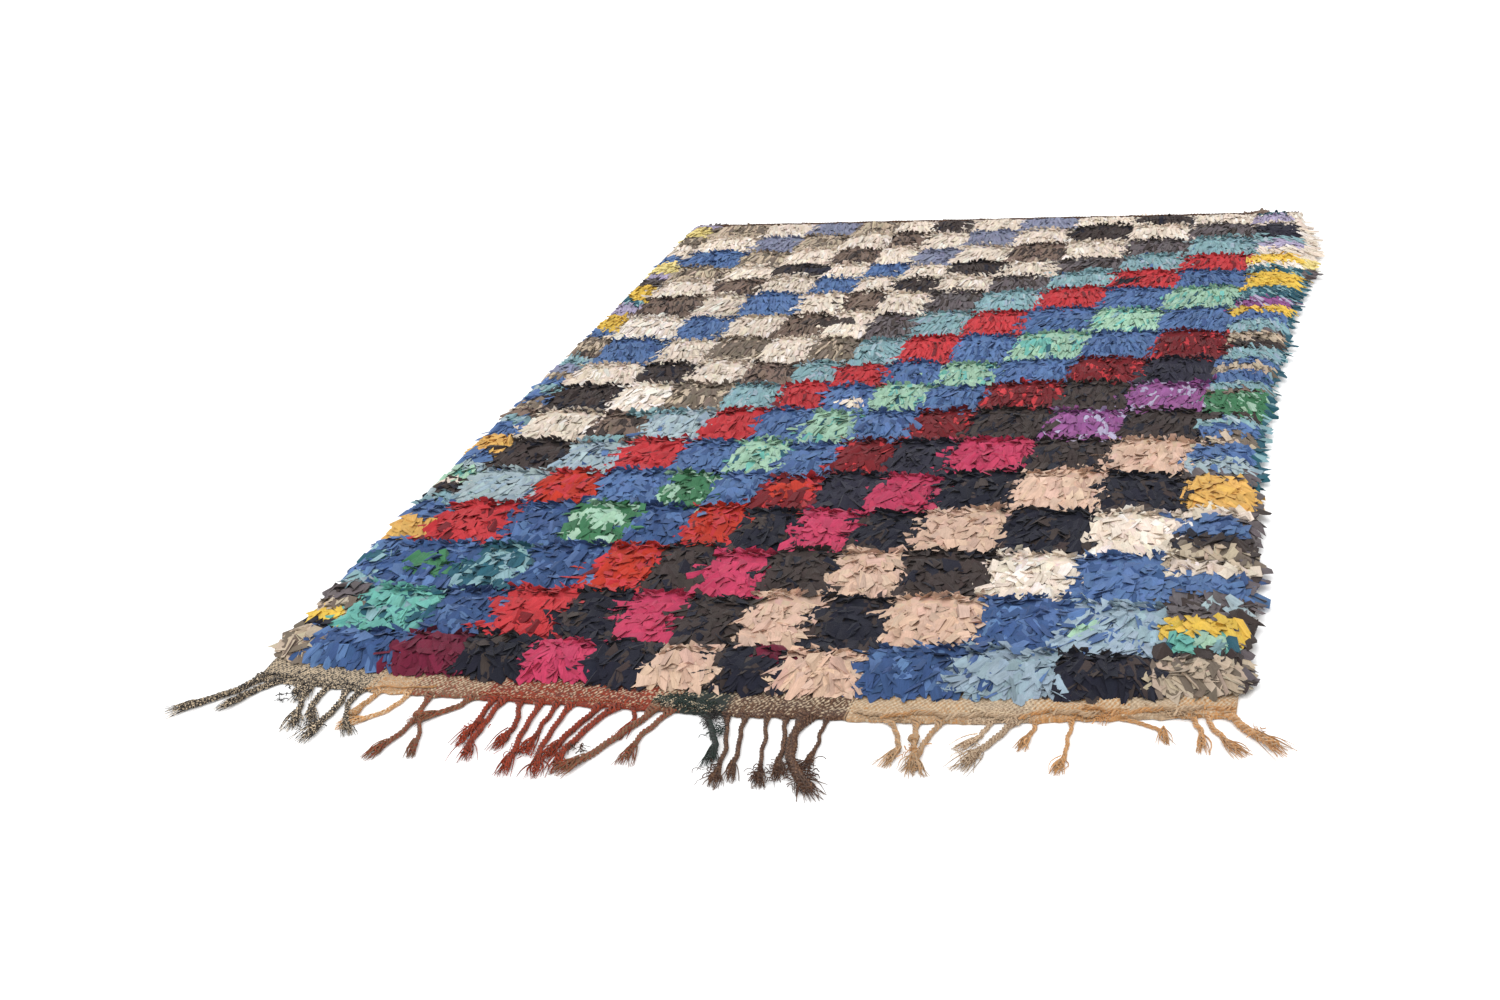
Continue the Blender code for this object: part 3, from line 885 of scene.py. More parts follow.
def yarn_material(name):
    """Hand-spun wool: flecks of a second colour, fine fibres, and darker and paler hairs."""
    material, shader = new_material(name, 0.92, 0.12)
    colour = attribute(material, "rag")
    fleck = attribute(material, "fleck")
    place = object_place(material)
    flecked = ramp(material, noise(material, place, 400.0, 2.0, 0.7), (0.53, 0.57))
    marl = mixed_colour(material, flecked, colour, fleck)
    hairs = ramp(material, noise(material, place, 900.0, 3.0, 0.8), NOISE_RANGE, (0.75, 1.2))
    wire(material, tinted(material, marl, hairs), shader.inputs["Base Color"])
    fibres = noise(material, place, 1900.0, 2.0)
    wire(material, bump(material, fibres, 0.0006, 0.7), shader.inputs["Normal"])
    return material


def knotted_back_material():
    """The underside: rows of flat rag knots between rows of weft."""
    material, shader = new_material("knotted back", 0.95, 0.1)
    colour = attribute(material, "rag")
    knots = attribute(material, "cloth", "Vector")
    place = object_place(material)
    parted = node(material, "ShaderNodeSeparateXYZ")
    wire(material, knots, parted.inputs[0])
    lumps = []
    for axis in ("X", "Y"):
        turn = math_node(material, "MULTIPLY", parted.outputs[axis], math.pi)
        lumps.append(math_node(material, "ABSOLUTE", math_node(material, "SINE", turn, 0.0), 0.0))
    knot = math_node(material, "MULTIPLY", ramp(material, lumps[0], (0.0, 0.6)), lumps[1])
    stray = ramp(material, noise(material, place, 300.0), NOISE_RANGE, (-0.15, 0.15))
    shown = ramp(material, math_node(material, "ADD", knot, stray), (0.40, 0.55))
    weft = mixed_colour(material, noise(material, place, 160.0), wool("grey brown"), wool("cream"))
    mix = mixed_colour(material, shown, weft, colour)
    wear = ramp(material, noise(material, place, 40.0), NOISE_RANGE, (0.85, 1.1))
    wire(material, tinted(material, mix, wear), shader.inputs["Base Color"])
    woven = bump(material, wave(material, place, "X", 110.0, 1.0), 0.0006, 0.6)
    wire(material, bump(material, knot, 0.003, 0.7, woven), shader.inputs["Normal"])
    return material


# The pile


def block_places(lines, at):
    """Which block each place is in, and its share of the way through it."""
    edges = np.concatenate([[lines[0] - BORDER], lines, [lines[-1] + BORDER]])
    block = np.searchsorted(lines, at)
    share = (at - edges[block]) / (edges[block + 1] - edges[block])
    return block, np.clip(share, 0, 1)


def field_x(x, y):
    """Places across the rug as if its columns ran straight."""
    return x - along(COLUMN_DRIFT, y) * np.clip(x / DRIFT_AT, 0, 1)


def row_shift(x, y):
    """How far the rows of blocks are set forwards here: each column by its own step, and in soft waves."""
    steps = seeded(13).uniform(-MISFIT, MISFIT, BLOCKS[1])
    column, share_x = block_places(COLUMN_LINES, field_x(x, y))
    scallop = SCALLOP * (np.sin(math.pi * share_x) - SCALLOP_MEAN)
    set_back = ROWS_BACK * np.clip((x - SET_BACK_AT) / SET_BACK_AT, 0, 1)
    return steps[column] + ripples(ROW_WAVES, x, y) + scallop + SET_FORWARDS - set_back


def row_span(row, x):
    """Front and back of a row of blocks at these places. The first follows the pile's curved front."""
    lines = np.array([0.0, *ROW_LINES, PILE_BACK])
    front = np.where(row == 0, along(PILE_FRONT, x), lines[row] - row_shift(x, lines[row]))
    back = np.where(row == len(ROW_LINES), PILE_BACK, lines[row + 1] - row_shift(x, lines[row + 1]))
    return front, back


def row_places(x, y):
    """Which row of blocks each place is in, and its share of the way through it."""
    row = np.searchsorted(ROW_LINES, y + row_shift(x, y))
    front, back = row_span(row, x)
    return row, np.clip((y - front) / (back - front), 0, 1)


KNOT_ROWS = np.round(np.diff([PILE_START, *ROW_LINES, PILE_BACK]) / KNOT_ROW).astype(int)


def row_stray(x, row):
    """How far a row of knots strays from its line, as a share of the space between rows."""
    return ripples(ROW_STRAYS, x, row)


def is_border(x, y):
    across = field_x(x, y)
    return (across < COLUMN_LINES[0]) | (across > COLUMN_LINES[-1])


def pile_top(x, y):
    """Height of the pile: blocks are low crowns of ridged rows, lower at the pile's outer edge."""
    _, share_x = block_places(COLUMN_LINES, field_x(x, y))
    row, share_y = row_places(x, y)
    at = (share_y * KNOT_ROWS[row] + row_stray(x, row)) % 1
    ridge = np.where(at < RIDGE, at / RIDGE, (1 - at) / (1 - RIDGE))
    ridge = np.where(is_border(x, y), 1.0, ridge)
    rise = np.clip(np.minimum(share_y / FRONT_FACE, (1 - share_y) / BACK_FACE), 0, 1)
    crown = (np.sin(math.pi * share_x) + TINY) ** CROWN_POWER * np.sin(0.5 * math.pi * rise)
    to_rim = np.minimum(to_side(x, y), y - along(PILE_FRONT, x))
    inside = np.minimum(to_rim / RIM_SLOPE, (PILE_BACK - y) / BACK_SLOPE).clip(0, 1)
    return (RIM + (PILE + BLOCK_CROWN * crown - RIM) * inside) * (1 - by_fineness(DROOP, y) * (1 - ridge))


def fineness(y):
    """0 where the rags are wide, in front, to 1 where they are fine, at the back."""
    return np.clip((y - FINE_FROM) / (FINE_AT - FINE_FROM), 0, 1)


def by_fineness(pair, y):
    return pair[0] + (pair[1] - pair[0]) * fineness(y)


def knot_places():
    """Where the rags are knotted: in dense rows in the field, and anywhere in the borders."""
    chance = seeded(1)
    found = []
    for row, knot_rows in enumerate(KNOT_ROWS):
        for knot_row in range(knot_rows):
            apart = float(by_fineness(RAG_PITCH, np.mean(row_span(row, 0.0))))
            x = np.arange(*KNOT_SPAN, apart)
            x = x + chance.uniform(-KNOT_SCATTER, KNOT_SCATTER, len(x)) * apart
            front, back = row_span(row, x)
            loose = np.where(is_border(x, front), 1.0, ROW_SCATTER) * chance.uniform(-0.5, 0.5, len(x))
            y = front + (back - front) * (knot_row + ROOTS - row_stray(x, row) + loose) / knot_rows
            inside = (x > along(LEFT_EDGE, y) + SIDE_INSET) & (x < along(RIGHT_EDGE, y) - SIDE_INSET)
            inside &= (y > along(PILE_FRONT, x) + FRONT_INSET) & (y < PILE_BACK - BACK_INSET)
            found.append(np.stack([x[inside], y[inside]], axis=1))
    x = np.arange(LEFT_EDGE[0][1] + SKIRT_INSET, RIGHT_EDGE[0][1] - SKIRT_INSET, SKIRT_PITCH)
    found.append(np.stack([x, along(PILE_FRONT, x) + chance.uniform(*SKIRT_ROOTS, len(x))], axis=1))
    return np.concatenate(found)


def wobble(x, y, phase):
    """A soft stray of a few millimetres, so that no block has a ruled edge."""
    return WOBBLE * ripples(WOBBLES, x, y, phase)


def band_colour(column, row):
    """The colour of a block of the field, from its band."""
    name = None
    for first_row, colour in BANDS[column - row]:
        if row >= first_row:
            name = colour
    return name or BANDS[column - row][0][1]


def block_of(x, y):
    """Row and column of the block that each place shows, whose edges stray and miss each other."""
    steps = seeded(14).uniform(-MISFIT, MISFIT, BLOCKS[0])
    row = np.searchsorted(ROW_LINES, y + row_shift(x, y))
    column = np.searchsorted(COLUMN_LINES, field_x(x, y) + wobble(x, y, EDGE_PHASE) + steps[row])
    return row, column


def numbers_of(names):
    """The palette's numbers of these colours."""
    order = list(PALETTE)
    return np.array([order.index(name) for name in names])


def rag_colours(x, y):
    """The palette number of each rag's colour, for rags that show at these places."""
    row, column = block_of(x, y)
    last = len(COLUMN_LINES)
    chart = np.zeros(BLOCKS, int)
    for r in range(len(chart)):
        chart[r, 1:last] = numbers_of([band_colour(c, r + 1) for c in range(1, last)])
    found = chart[row, column]
    seen_y = y + wobble(x, y, STRIPE_PHASE)
    for stripes, border in ((LEFT_STRIPES, 0), (RIGHT_STRIPES, last)):
        numbers = numbers_of([colour for _, colour in stripes])
        found = np.where(column == border, numbers[entry_at(stripes, seen_y)], found)
    part = entry_at(RIGHT_RIM, seen_y)
    _, colours, widths = zip(*RIGHT_RIM)
    at_rim = x > along(RIGHT_EDGE, y) - np.array(widths)[part] + wobble(x, y, RIM_PHASE)
    return np.where(at_rim, numbers_of(colours)[part], found)


def covered(kinds, in_front, y):
    """Pale rags at the back also cover the front of a darker block behind them."""
    over = np.isin(in_front, numbers_of(PALE)) & np.isin(kinds, numbers_of(DARK)) & (y > PALE_FROM)
    return np.where(over, in_front, kinds)


def mixed(kinds, x, y, chance):
    """Swaps some rags for their colour's companion, in small clumps."""
    clump = ripples(CLUMPS, x, y)
    for colour, (other, share) in COMPANIONS.items():
        own, swapped = numbers_of((colour, other))
        picked = (kinds == own) & (chance.random(len(kinds)) < share * (1 + clump))
        kinds = np.where(picked, swapped, kinds)
    return kinds


def varied(colours, chance, value=0.09, tint=0.035):
    """Colours with each rag's own fading and tint."""
    most = MOST_FADING * value
    shade = 1 + chance.normal(0, value, (len(colours), 1)).clip(-most, most)
    return (colours * shade * (1 + chance.normal(0, tint, colours.shape))).clip(0, 1)


def rag_points(roots, azimuth, reach, height, tip, width, chance):
    """Points of closed strips with a fold along them, and each point's place on its own cloth."""
    count = len(roots)
    share = np.array([0.0, KNEE, 1.0])[None, :, None]
    heading = np.stack([np.cos(azimuth), np.sin(azimuth), np.zeros(count)], axis=1)[:, None]
    start = np.column_stack([roots, np.zeros(count)])[:, None]
    centre = start + heading * reach[:, None, None] * share
    centre[..., 2] = np.stack([np.full(count, ROOT_Z), height, tip], axis=1)
    forward = unit(np.gradient(centre, axis=1))
    side = np.stack([-np.sin(azimuth), np.cos(azimuth), np.zeros(count)], axis=1)[:, None]
    normal = np.cross(forward, np.broadcast_to(side, forward.shape))
    y = roots[:, 1]
    twist = np.cumsum(chance.normal(0, TWIST, (count, RAG_SECTIONS)), axis=1)
    turned_over = math.pi * (chance.random(count) < TURNED_OVER)
    roll = (chance.normal(0, 1, count) * by_fineness(RAG_ROLL, y) + turned_over)[:, None] + twist
    cos, sin = np.cos(roll)[..., None], np.sin(roll)[..., None]
    across = cos * side + sin * normal
    face = cos * normal - sin * side
    wide, spiky = np.array(WIDE_RAG), np.array(SPIKY_RAG)
    profile = wide + (spiky - wide) * fineness(y)[:, None]
    half = 0.5 * (width[:, None] * profile * (1 + chance.normal(0, UNEVEN, profile.shape)))[..., None]
    fold = RAG_THICKNESS + half * np.abs(chance.normal(0, FOLD, count))[:, None, None]
    slant = np.zeros((count, RAG_SECTIONS, 1))
    slant[:, -1, 0] = chance.normal(0, SLANT, count).clip(-MOST_SLANT, MOST_SLANT) * width
    point = np.zeros((count, RAG_SECTIONS, 1))
    drawn_out = by_fineness(RAG_POINT, y) + chance.normal(0, POINT_SPREAD, count)
    point[:, -1, 0] = drawn_out.clip(*POINTS) * width
    aside = half * chance.uniform(-0.5, 0.5, count)[:, None, None]
    ring = [
        centre - across * half - forward * slant,
        centre + across * half + forward * slant,
        centre + face * fold + across * aside + forward * point,
    ]
    points = np.stack(ring, axis=2)
    points[..., 2] = points[..., 2].clip(RAG_FOOT, RAG_TOP)
    cloth = np.zeros(points.shape)
    cloth[..., 0] = half * np.array([-1, 1, 0])
    cloth[..., 1] = CLOTH_LENGTH * share
    cloth[..., 2] = chance.uniform(0, CLOTH_SPAN, count)[:, None, None]
    return points, cloth


def rag_leans(x, y, chance):
    """How each rag leans, across and along the rug, where a length of one is flat on the pile.

    The rags of a block fan out from its middle. Those in front lie forwards, and the rearmost stand.
    """
    column, share_x = block_places(COLUMN_LINES, field_x(x, y))
    row, share_y = row_places(x, y - ROOT_SHIFT)
    lean = seeded(4).normal(0, BLOCK_LEAN, BLOCKS)[row, column]
    turn = lean + FAN * (2 * share_x - 1) + chance.normal(0, 1, len(x)) * by_fineness(RAG_SPREAD, y)
    rising = np.clip((share_y - UPRIGHT_FROM) / (1 - UPRIGHT_FROM), 0, 1)
    rising = np.where(row == len(ROW_LINES), LAST_RISING * rising, rising)
    left, right = column == 0, column == len(COLUMN_LINES)
    turn = np.select([left, right], [turn + BORDER_TURN[0], turn + BORDER_TURN[1]], turn)
    in_border = left | right
    sideways = np.where(in_border, 1.0, 1 - STRAIGHTER * rising)
    forwards = np.where(in_border, 1.0, 1 - rising)
    return np.stack([np.sin(turn) * sideways, -np.cos(turn) * forwards], axis=1), in_border


def rag_table():
    return np.array([linear(colour) for colour in PALETTE.values()])


def build_bed(material):
    """The dense inner pile: a crumpled surface of the blocks' colours, darkened as painted shade, under the
    rags' free ends.
    """
    chance = seeded(12)
    share_x = np.linspace(0, 1, int(WIDTH / BED_CELL))
    share_y = np.linspace(0, 1, int(LENGTH / BED_CELL))[:, None]
    front = along(PILE_FRONT, LEFT_X + (RIGHT_X - LEFT_X) * share_x) + BED_FRONT
    y = front + (PILE_BACK - BED_INSET - front) * share_y
    x = from_left(share_x, y, BED_INSET)
    x = x + chance.uniform(-BED_SCATTER, BED_SCATTER, x.shape) * BED_CELL
    y = y + chance.uniform(-BED_SCATTER, BED_SCATTER, x.shape) * BED_CELL
    z = BED_SHARE * pile_top(x, y) + chance.normal(0, BED_ROUGHNESS, x.shape)
    upper = np.pad(np.stack([x, y, z], axis=-1), ((1, 1), (1, 1), (0, 0)), mode="edge")
    upper[[0, -1], :, 2] = ROOT_Z
    upper[:, [0, -1], 2] = ROOT_Z
    points = upper.reshape(-1, 3)
    faces = grid_faces(*upper.shape[:2])
    middle = points[faces].mean(axis=1)
    kinds = mixed(rag_colours(middle[:, 0], middle[:, 1]), middle[:, 0], middle[:, 1], chance)
    parts = Parts()
    # The bed's colours are darkened here: painted shade in the gaps between the rags.
    parts.add(points, faces, BED_PAINTED_SHADE * varied(rag_table()[kinds], chance, BED_FADING))
    bed = parts.build("pile_bed", [material], angle=40)
    rows, columns = upper.shape[:2]
    flat = np.stack(np.meshgrid(np.arange(columns) / columns, np.arange(rows) / rows), axis=-1).reshape(-1, 2)
    bake_map(bed, flat[faces.ravel()])
    return bed


def accented(kinds, x, y):
    """Gives the rags that show within an accent its colour."""
    for at_x, at_y, wide, deep, colour in ACCENTS:
        near = ((x - at_x) / wide) ** 2 + ((y - at_y) / deep) ** 2 < 1
        kinds[near] = numbers_of([colour])
    return kinds


def rag_heights(x, y, ahead, flat, proud, chance):
    """Heights of each rag's knee and tip. Those that reach beyond the pile's front hang down there."""
    landing = pile_top(x + ahead[0], y + ahead[1])
    beyond = np.clip((along(PILE_FRONT, x + ahead[0]) - y - ahead[1]) / SKIRT_DROP, 0, 1)
    landing = landing + (SKIRT_Z - landing) * beyond
    under_knee = pile_top(x + KNEE * ahead[0], y + KNEE * ahead[1])
    knee = under_knee * chance.normal(*KNEE_RISE, len(x)) * (1 - UPRIGHT_KNEE * (1 - flat))
    tip = landing * chance.normal(1.0, TIP_SPREAD, len(x)) * (1 + STAND_UP * (1 - flat)) + LIFT
    return knee, np.where(proud, PROUD_RISE * landing, tip)


def build_rags(material):
    """All rag strips, as one mesh for each family of colours."""
    roots = knot_places()
    chance = seeded(2)
    field = len(roots)
    tufts = np.concatenate([np.array([[x, y]] * rags) for x, y, _, rags in BACK_TUFTS])
    stray, along_share = TUFT_SPREAD
    roots = np.concatenate([roots, tufts + chance.normal(0, stray, tufts.shape) * [1, along_share]])
    count = len(roots)
    x, y = roots.T
    lean, in_border = rag_leans(x, y, chance)
    stray, backwards = TUFT_LEAN
    lean[field:] = np.column_stack([chance.normal(0, stray, len(tufts)), np.full(len(tufts), backwards)])
    skirt = y < along(PILE_FRONT, x) + SKIRT_ROOTS[1]
    lean[:, 0] += np.where(skirt, chance.normal(0, SKIRT_SPREAD, count), 0)
    share = np.where(skirt, chance.uniform(*SKIRT_REACHES, count), chance.uniform(*REACHES, count))
    proud = chance.random(count) < PROUD
    near_side = np.where(to_side(x, y) < EDGE_RAGS, EDGE_REACH, 1.0)
    reach = by_fineness(RAG_REACH, y) * share * np.where(proud, PROUD_REACH, 1.0) * near_side
    flat = np.hypot(*lean.T).clip(SHORTEST, 1.0)
    azimuth = np.arctan2(lean[:, 1], lean[:, 0])
    reach = reach * flat
    seen_y = y - np.where(in_border, STRIPE_SHIFT * reach, ROOT_SHIFT)
    kinds = covered(rag_colours(x, seen_y), rag_colours(x, seen_y - PALE_SPREAD), y)
    kinds = accented(mixed(kinds, x, y, chance), x, y - STRIPE_SHIFT * reach)
    kinds[field:] = np.concatenate([numbers_of([colour] * rags) for _, _, colour, rags in BACK_TUFTS])
    ahead = (reach * np.cos(azimuth), reach * np.sin(azimuth))
    knee, tip = rag_heights(x, y, ahead, flat, proud, chance)
    width = by_fineness(RAG_WIDTH, y) * chance.uniform(*WIDTHS, count) * np.where(skirt, SKIRT_WIDTH, 1.0)
    points, cloth = rag_points(roots, azimuth, reach, knee, tip, width, chance)
    column, _ = block_places(COLUMN_LINES, field_x(x, y))
    row, _ = row_places(x, y - ROOT_SHIFT)
    shade = seeded(3).normal(1, BLOCK_FADING, BLOCKS)[row, column]
    colours = varied(rag_table()[kinds] * shade[:, None], chance, *RAG_FADING)
    pieces = []
    for name, members in FAMILIES.items():
        chosen = np.isin(kinds, numbers_of(members))
        rags = int(chosen.sum())
        parts = Parts()
        own = np.repeat(colours[chosen], RAG_SECTIONS * RAG_SIDES, axis=0)
        parts.add(points[chosen], ring_faces(rags, RAG_SECTIONS, RAG_SIDES), own, cloth=cloth[chosen])
        piece = parts.build(name, [material])
        bake_map(piece, strip_map(rags, RAG_SECTIONS, RAG_SIDES))
        pieces.append(piece)
    return pieces


# The ground and its woven ends


def wool(name):
    return linear(WOOL[name])


def zone_colours(x):
    """The warp, second warp and weft colours at these places."""
    zone = entry_at(WARP_ZONES, x)
    colours = [np.array([wool(entry[place]) for entry in WARP_ZONES])[zone] for place in (1, 2, 3)]
    return *colours, np.array([entry[4] for entry in WARP_ZONES])[zone]


def weave_points(rows, front):
    """Upper points of a plain weave: rows of half weft steps behind the line front, and their x."""
    columns = int(round((along(RIGHT_EDGE, -1.03) - along(LEFT_EDGE, -1.03)) / WARP_STEP)) * 2 + 1
    share = np.linspace(0, 1, columns)
    x = from_left(share, front(0.0))
    y = front(x) + ripples(EDGE_WAVES, x, 0) + rows[:, None] * 0.5 * WEFT_STEP
    x = np.broadcast_to(x, y.shape)
    y = y + ripples(WEAVE_WAVES, x, y)
    odd_x, odd_y = np.arange(columns) % 2, rows[:, None] % 2
    over = WEAVE_RELIEF * (odd_x * odd_y + SHALLOW * (odd_x != odd_y))
    first, second = (np.sin(by_x * x + by_y * y) for by_x, by_y in LUMP_WAVES)
    lumps = LUMP + LUMP * first * second
    z = WEAVE_BASE + over + lumps * (1 + LUMPIER * np.clip(x / LUMPIER_AT, 0, 1))
    return np.stack([x, y, z], axis=-1)


def weave_colours(points, rows, chance):
    """Colours and flecks of the crossings: warp or weft on top by turns, more warp towards the front."""
    stray = points[0, :, 0] + ZONE_STRAY * chance.normal(0, 1, points.shape[1])
    thread, fleck, weft, weft_shown = zone_colours(stray)
    thread = thread * chance.uniform(*WARP_TONES, (len(stray), 1))
    crossing = (np.arange(len(stray)) // 2 + rows[:, None] // 2) % 2
    shown = np.clip(WEFT_AT_FRONT + WEFT_GAIN * rows, *WEFT_RANGE)[:, None] * weft_shown
    draw = chance.random(crossing.shape)
    weft_over = (((crossing == 1) & (draw < shown)) | (draw < shown - 1))[..., None]
    tone = chance.uniform(*CROSSING_TONES, (*crossing.shape, 1))
    colours = np.where(weft_over, weft, thread) * tone
    flecks = np.where(weft_over, WEFT_FLECKS * weft, fleck) * tone
    return colours.reshape(-1, 3), flecks.reshape(-1, 3)


def rim_faces(rows, columns):
    """Walls between a grid of points and an equal one under it."""
    front = np.arange(columns)
    back = (rows - 1) * columns + front[::-1]
    right = np.arange(rows) * columns + columns - 1
    left = (np.arange(rows) * columns)[::-1]
    loop = np.concatenate([front[:-1], right[:-1], back[:-1], left[:-1]])
    after = np.roll(loop, -1)
    under = rows * columns
    return np.stack([loop, loop + under, after + under, after], axis=-1)


def slab(upper, floor_z):
    """Points and faces of a closed slab between a grid of points and its flat underside."""
    rows, columns = upper.shape[:2]
    under = upper.copy()
    under[..., 2] = floor_z
    points = np.concatenate([upper.reshape(-1, 3), under.reshape(-1, 3)])
    top = grid_faces(rows, columns)
    bottom = grid_faces(rows, columns, rows * columns)[:, ::-1]
    return points, np.concatenate([top, bottom, rim_faces(rows, columns)])


def front_line(x):
    """Front edge of the woven end, drawn back at its rounded corners."""
    line = along(WOVEN_FRONT, x)
    short = np.clip((CORNER - to_side(x, line)) / CORNER, 0, 1)
    return line + CORNER * (1 - np.sqrt(1 - CORNER_ROUND * short**2))


def back_line(x):
    return np.full_like(np.asarray(x, float), PILE_BACK - 0.5 * WEFT_STEP)


def add_weave(parts, rows, line, seed, tone=1.0):
    """Adds a closed band of plain weave with its relief above and, mirrored, beneath."""
    upper = weave_points(rows, line)
    points, faces = slab(upper, 0.0)
    relief = upper[..., 2].ravel() - upper[..., 2].min()
    points[len(relief) :, 2] = WEAVE_FOOT + UNDER_RELIEF * (relief.max() - relief)
    colours, flecks = weave_colours(upper, rows, seeded(seed))
    parts.add(points, faces, tone * np.tile(colours, (2, 1)), tone * np.tile(flecks, (2, 1)))


def add_cord(parts, path, length, yarns, tone, thickness, lift):
    """Adds one twisted cord of two yarns along a level path."""
    own = [wool(yarn) * tone for yarn in yarns]
    turns = np.array([length / TWIST_LENGTH])
    add_plies(parts, path[None], np.array([0.5 * thickness]), own, turns, np.zeros(1), lift)


def add_end_cords(parts, chance):
    """Adds the dark cords of warp ends that finish the back end."""
    share = np.linspace(0, 1, CORD_STATIONS)
    for start in np.linspace(LEFT_EDGE[-1][1], RIGHT_EDGE[-1][1] - END_CORD, END_CORDS):
        x = start + END_CORD * share
        y = PILE_BACK + END_CORD_BEHIND + ripples(END_CORD_WAVES, x, start)
        tone = chance.uniform(*END_CORD_TONES, (1, PLIES, 1))
        path = np.stack([x, y], axis=-1)
        add_cord(parts, path, END_CORD, ("brown", "grey brown"), tone, END_CORD_THICK, GROUND)


def build_ground(weave, back):
    """The cloth that the rags are knotted on, with its woven ends: flat beneath."""
    parts = Parts()
    add_weave(parts, np.arange(0, WOVEN_ROWS), front_line, 5)
    add_weave(parts, np.arange(0, HEM_ROWS), back_line, 6, HEM_SHADE)
    add_end_cords(parts, seeded(15))
    share_x = np.linspace(0, 1, int(GROUND_WIDTH / BACK_CELL) + 1)
    share_y = np.linspace(0, 1, int(LENGTH / BACK_CELL) + 1)[:, None]
    start = front_line(np.linspace(LEFT_X, RIGHT_X, len(share_x)))
    start = start + 0.5 * WEFT_STEP * (WOVEN_ROWS - TUCKED_ROWS)
    y = start + (PILE_BACK - start) * share_y
    x = from_left(share_x, y, UNDER_INSET)
    upper = np.stack([x, y, np.full_like(x, GROUND)], axis=-1)
    points, faces = slab(upper, BACK_FOOT)
    middle_x, middle_y = points[faces].mean(axis=1)[:, :2].T
    kinds = mixed(rag_colours(middle_x, middle_y), middle_x, middle_y, seeded(7))
    knots = np.zeros((*upper.shape[:2], 3))
    knots[..., 0] = share_x * round(GROUND_WIDTH / BACK_KNOT)
    knots[..., 1] = share_y * round(LENGTH / BACK_KNOT)
    colours = varied(rag_table()[kinds], seeded(8))
    parts.add(points, faces, colours, cloth=np.concatenate([knots, knots]), kind=1)
    return parts.build("ground", [weave, back], angle=60)


# The fringe


def strand_colours(x, chance):
    """Colours and flecks for the plies of strands at these places."""
    thread, fleck, _, _ = zone_colours(x)
    tone = chance.uniform(*STRAND_TONES, (len(x), PLIES, 1))
    return thread[:, None] * tone, fleck[:, None] * tone


def strand_paths(stations):
    """Middle lines of the strands, level with the floor, from their roots in the strip."""
    x, reach, lean, bow, _ = np.array(STRANDS).T
    share = stations[None, :, None]
    root = np.stack([x, front_line(x) - 0.5 * STRIP], axis=-1)[:, None]
    bend = root + np.stack([0.5 * lean + 2 * bow, -0.5 * reach], axis=-1)[:, None]
    end = root + np.stack([lean, -reach], axis=-1)[:, None]
    path = (1 - share) ** 2 * root + 2 * share * (1 - share) * bend + share**2 * end
    phase = seeded(9).uniform(0, 2 * math.pi, (len(x), 2))
    for (height, turn), start in zip(STRAND_WAVES, phase.T):
        path[..., 0] += height * np.sin(turn * stations + start[:, None]) * np.sin(math.pi * stations)
    return path


def at_tip(share, tip):
    """0 along a strand, and rising to 1 over this share of it at its tip."""
    return np.clip((share - (1 - tip)) / tip, 0, 1)


def add_plies(parts, paths, radius, colours, turns, phase, lift=0.0):
    """Adds twisted plies along level paths; they part at the root and loosen at the tip."""
    count, stations = paths.shape[:2]
    share = np.linspace(0, 1, stations)
    side = to_right(unit(np.gradient(paths, axis=1)))
    spread = PLY_SPREAD + ROOT_PARTING[0] * np.clip(1 - share / ROOT_PARTING[1], 0, 1)
    spread = spread + TIP_LOOSENING[0] * at_tip(share, TIP_LOOSENING[1])
    thin = 1 - TIP_THINNING[0] * at_tip(share, TIP_THINNING[1])
    for ply in range(PLIES):
        angle = 2 * math.pi * (turns[:, None] * share + ply / PLIES) + phase[:, None]
        sideways = radius[:, None] * np.cos(angle) * spread
        line = np.empty((count, stations, 3))
        line[..., :2] = paths + side * sideways[..., None]
        line[..., 2] = radius[:, None] * (PLY_HEIGHT + PLY_RISE * np.sin(angle)) + lift
        parts.add_tubes(line, radius[:, None] * PLY * thin, PLY_SIDES, [layer[:, ply] for layer in colours])


def add_frays(parts, paths, radius, colours, chance):
    """Adds the loose yarns in which each strand ends."""
    count = len(paths)
    stations = np.linspace(0, 1, FRAY_STATIONS)
    tip = paths[:, -1]
    forward = unit(tip - paths[:, -4])
    side = to_right(forward)
    parted, fan, power = FRAY_FAN
    for fray in range(FRAYS):
        spread = chance.normal(0, 1.0, count)
        length = chance.uniform(*FRAY_LENGTH, count) * (radius / (0.5 * STRAND)) ** 0.5
        back = FRAY_BEHIND * length
        run = -back[:, None] + (back + FRAY_BEYOND * length)[:, None] * stations
        bow = np.sin(math.pi * stations * chance.uniform(*FRAY_CURLS, (count, 1)))
        away = radius[:, None] * spread[:, None] * (parted + fan * stations**power)
        away = away + chance.normal(0, FRAY_BOW, (count, 1)) * bow
        line = np.empty((count, FRAY_STATIONS, 3))
        line[..., :2] = tip[:, None] + forward[:, None] * run[..., None] + side[:, None] * away[..., None]
        height = radius * chance.uniform(*FRAY_HEIGHTS, count)
        line[..., 2] = FRAY_FOOT + height[:, None] * (1 - FRAY_SINK[0] * stations ** FRAY_SINK[1])
        thick = FRAY_THICK * (1 - FRAY_TAPER * stations) * chance.uniform(*FRAY_SIZES, (count, 1))
        tone = chance.uniform(*WARP_TONES, (count, 1))
        parts.add_tubes(line, thick, FRAY_SIDES, [layer[:, fray % PLIES] * tone for layer in colours])


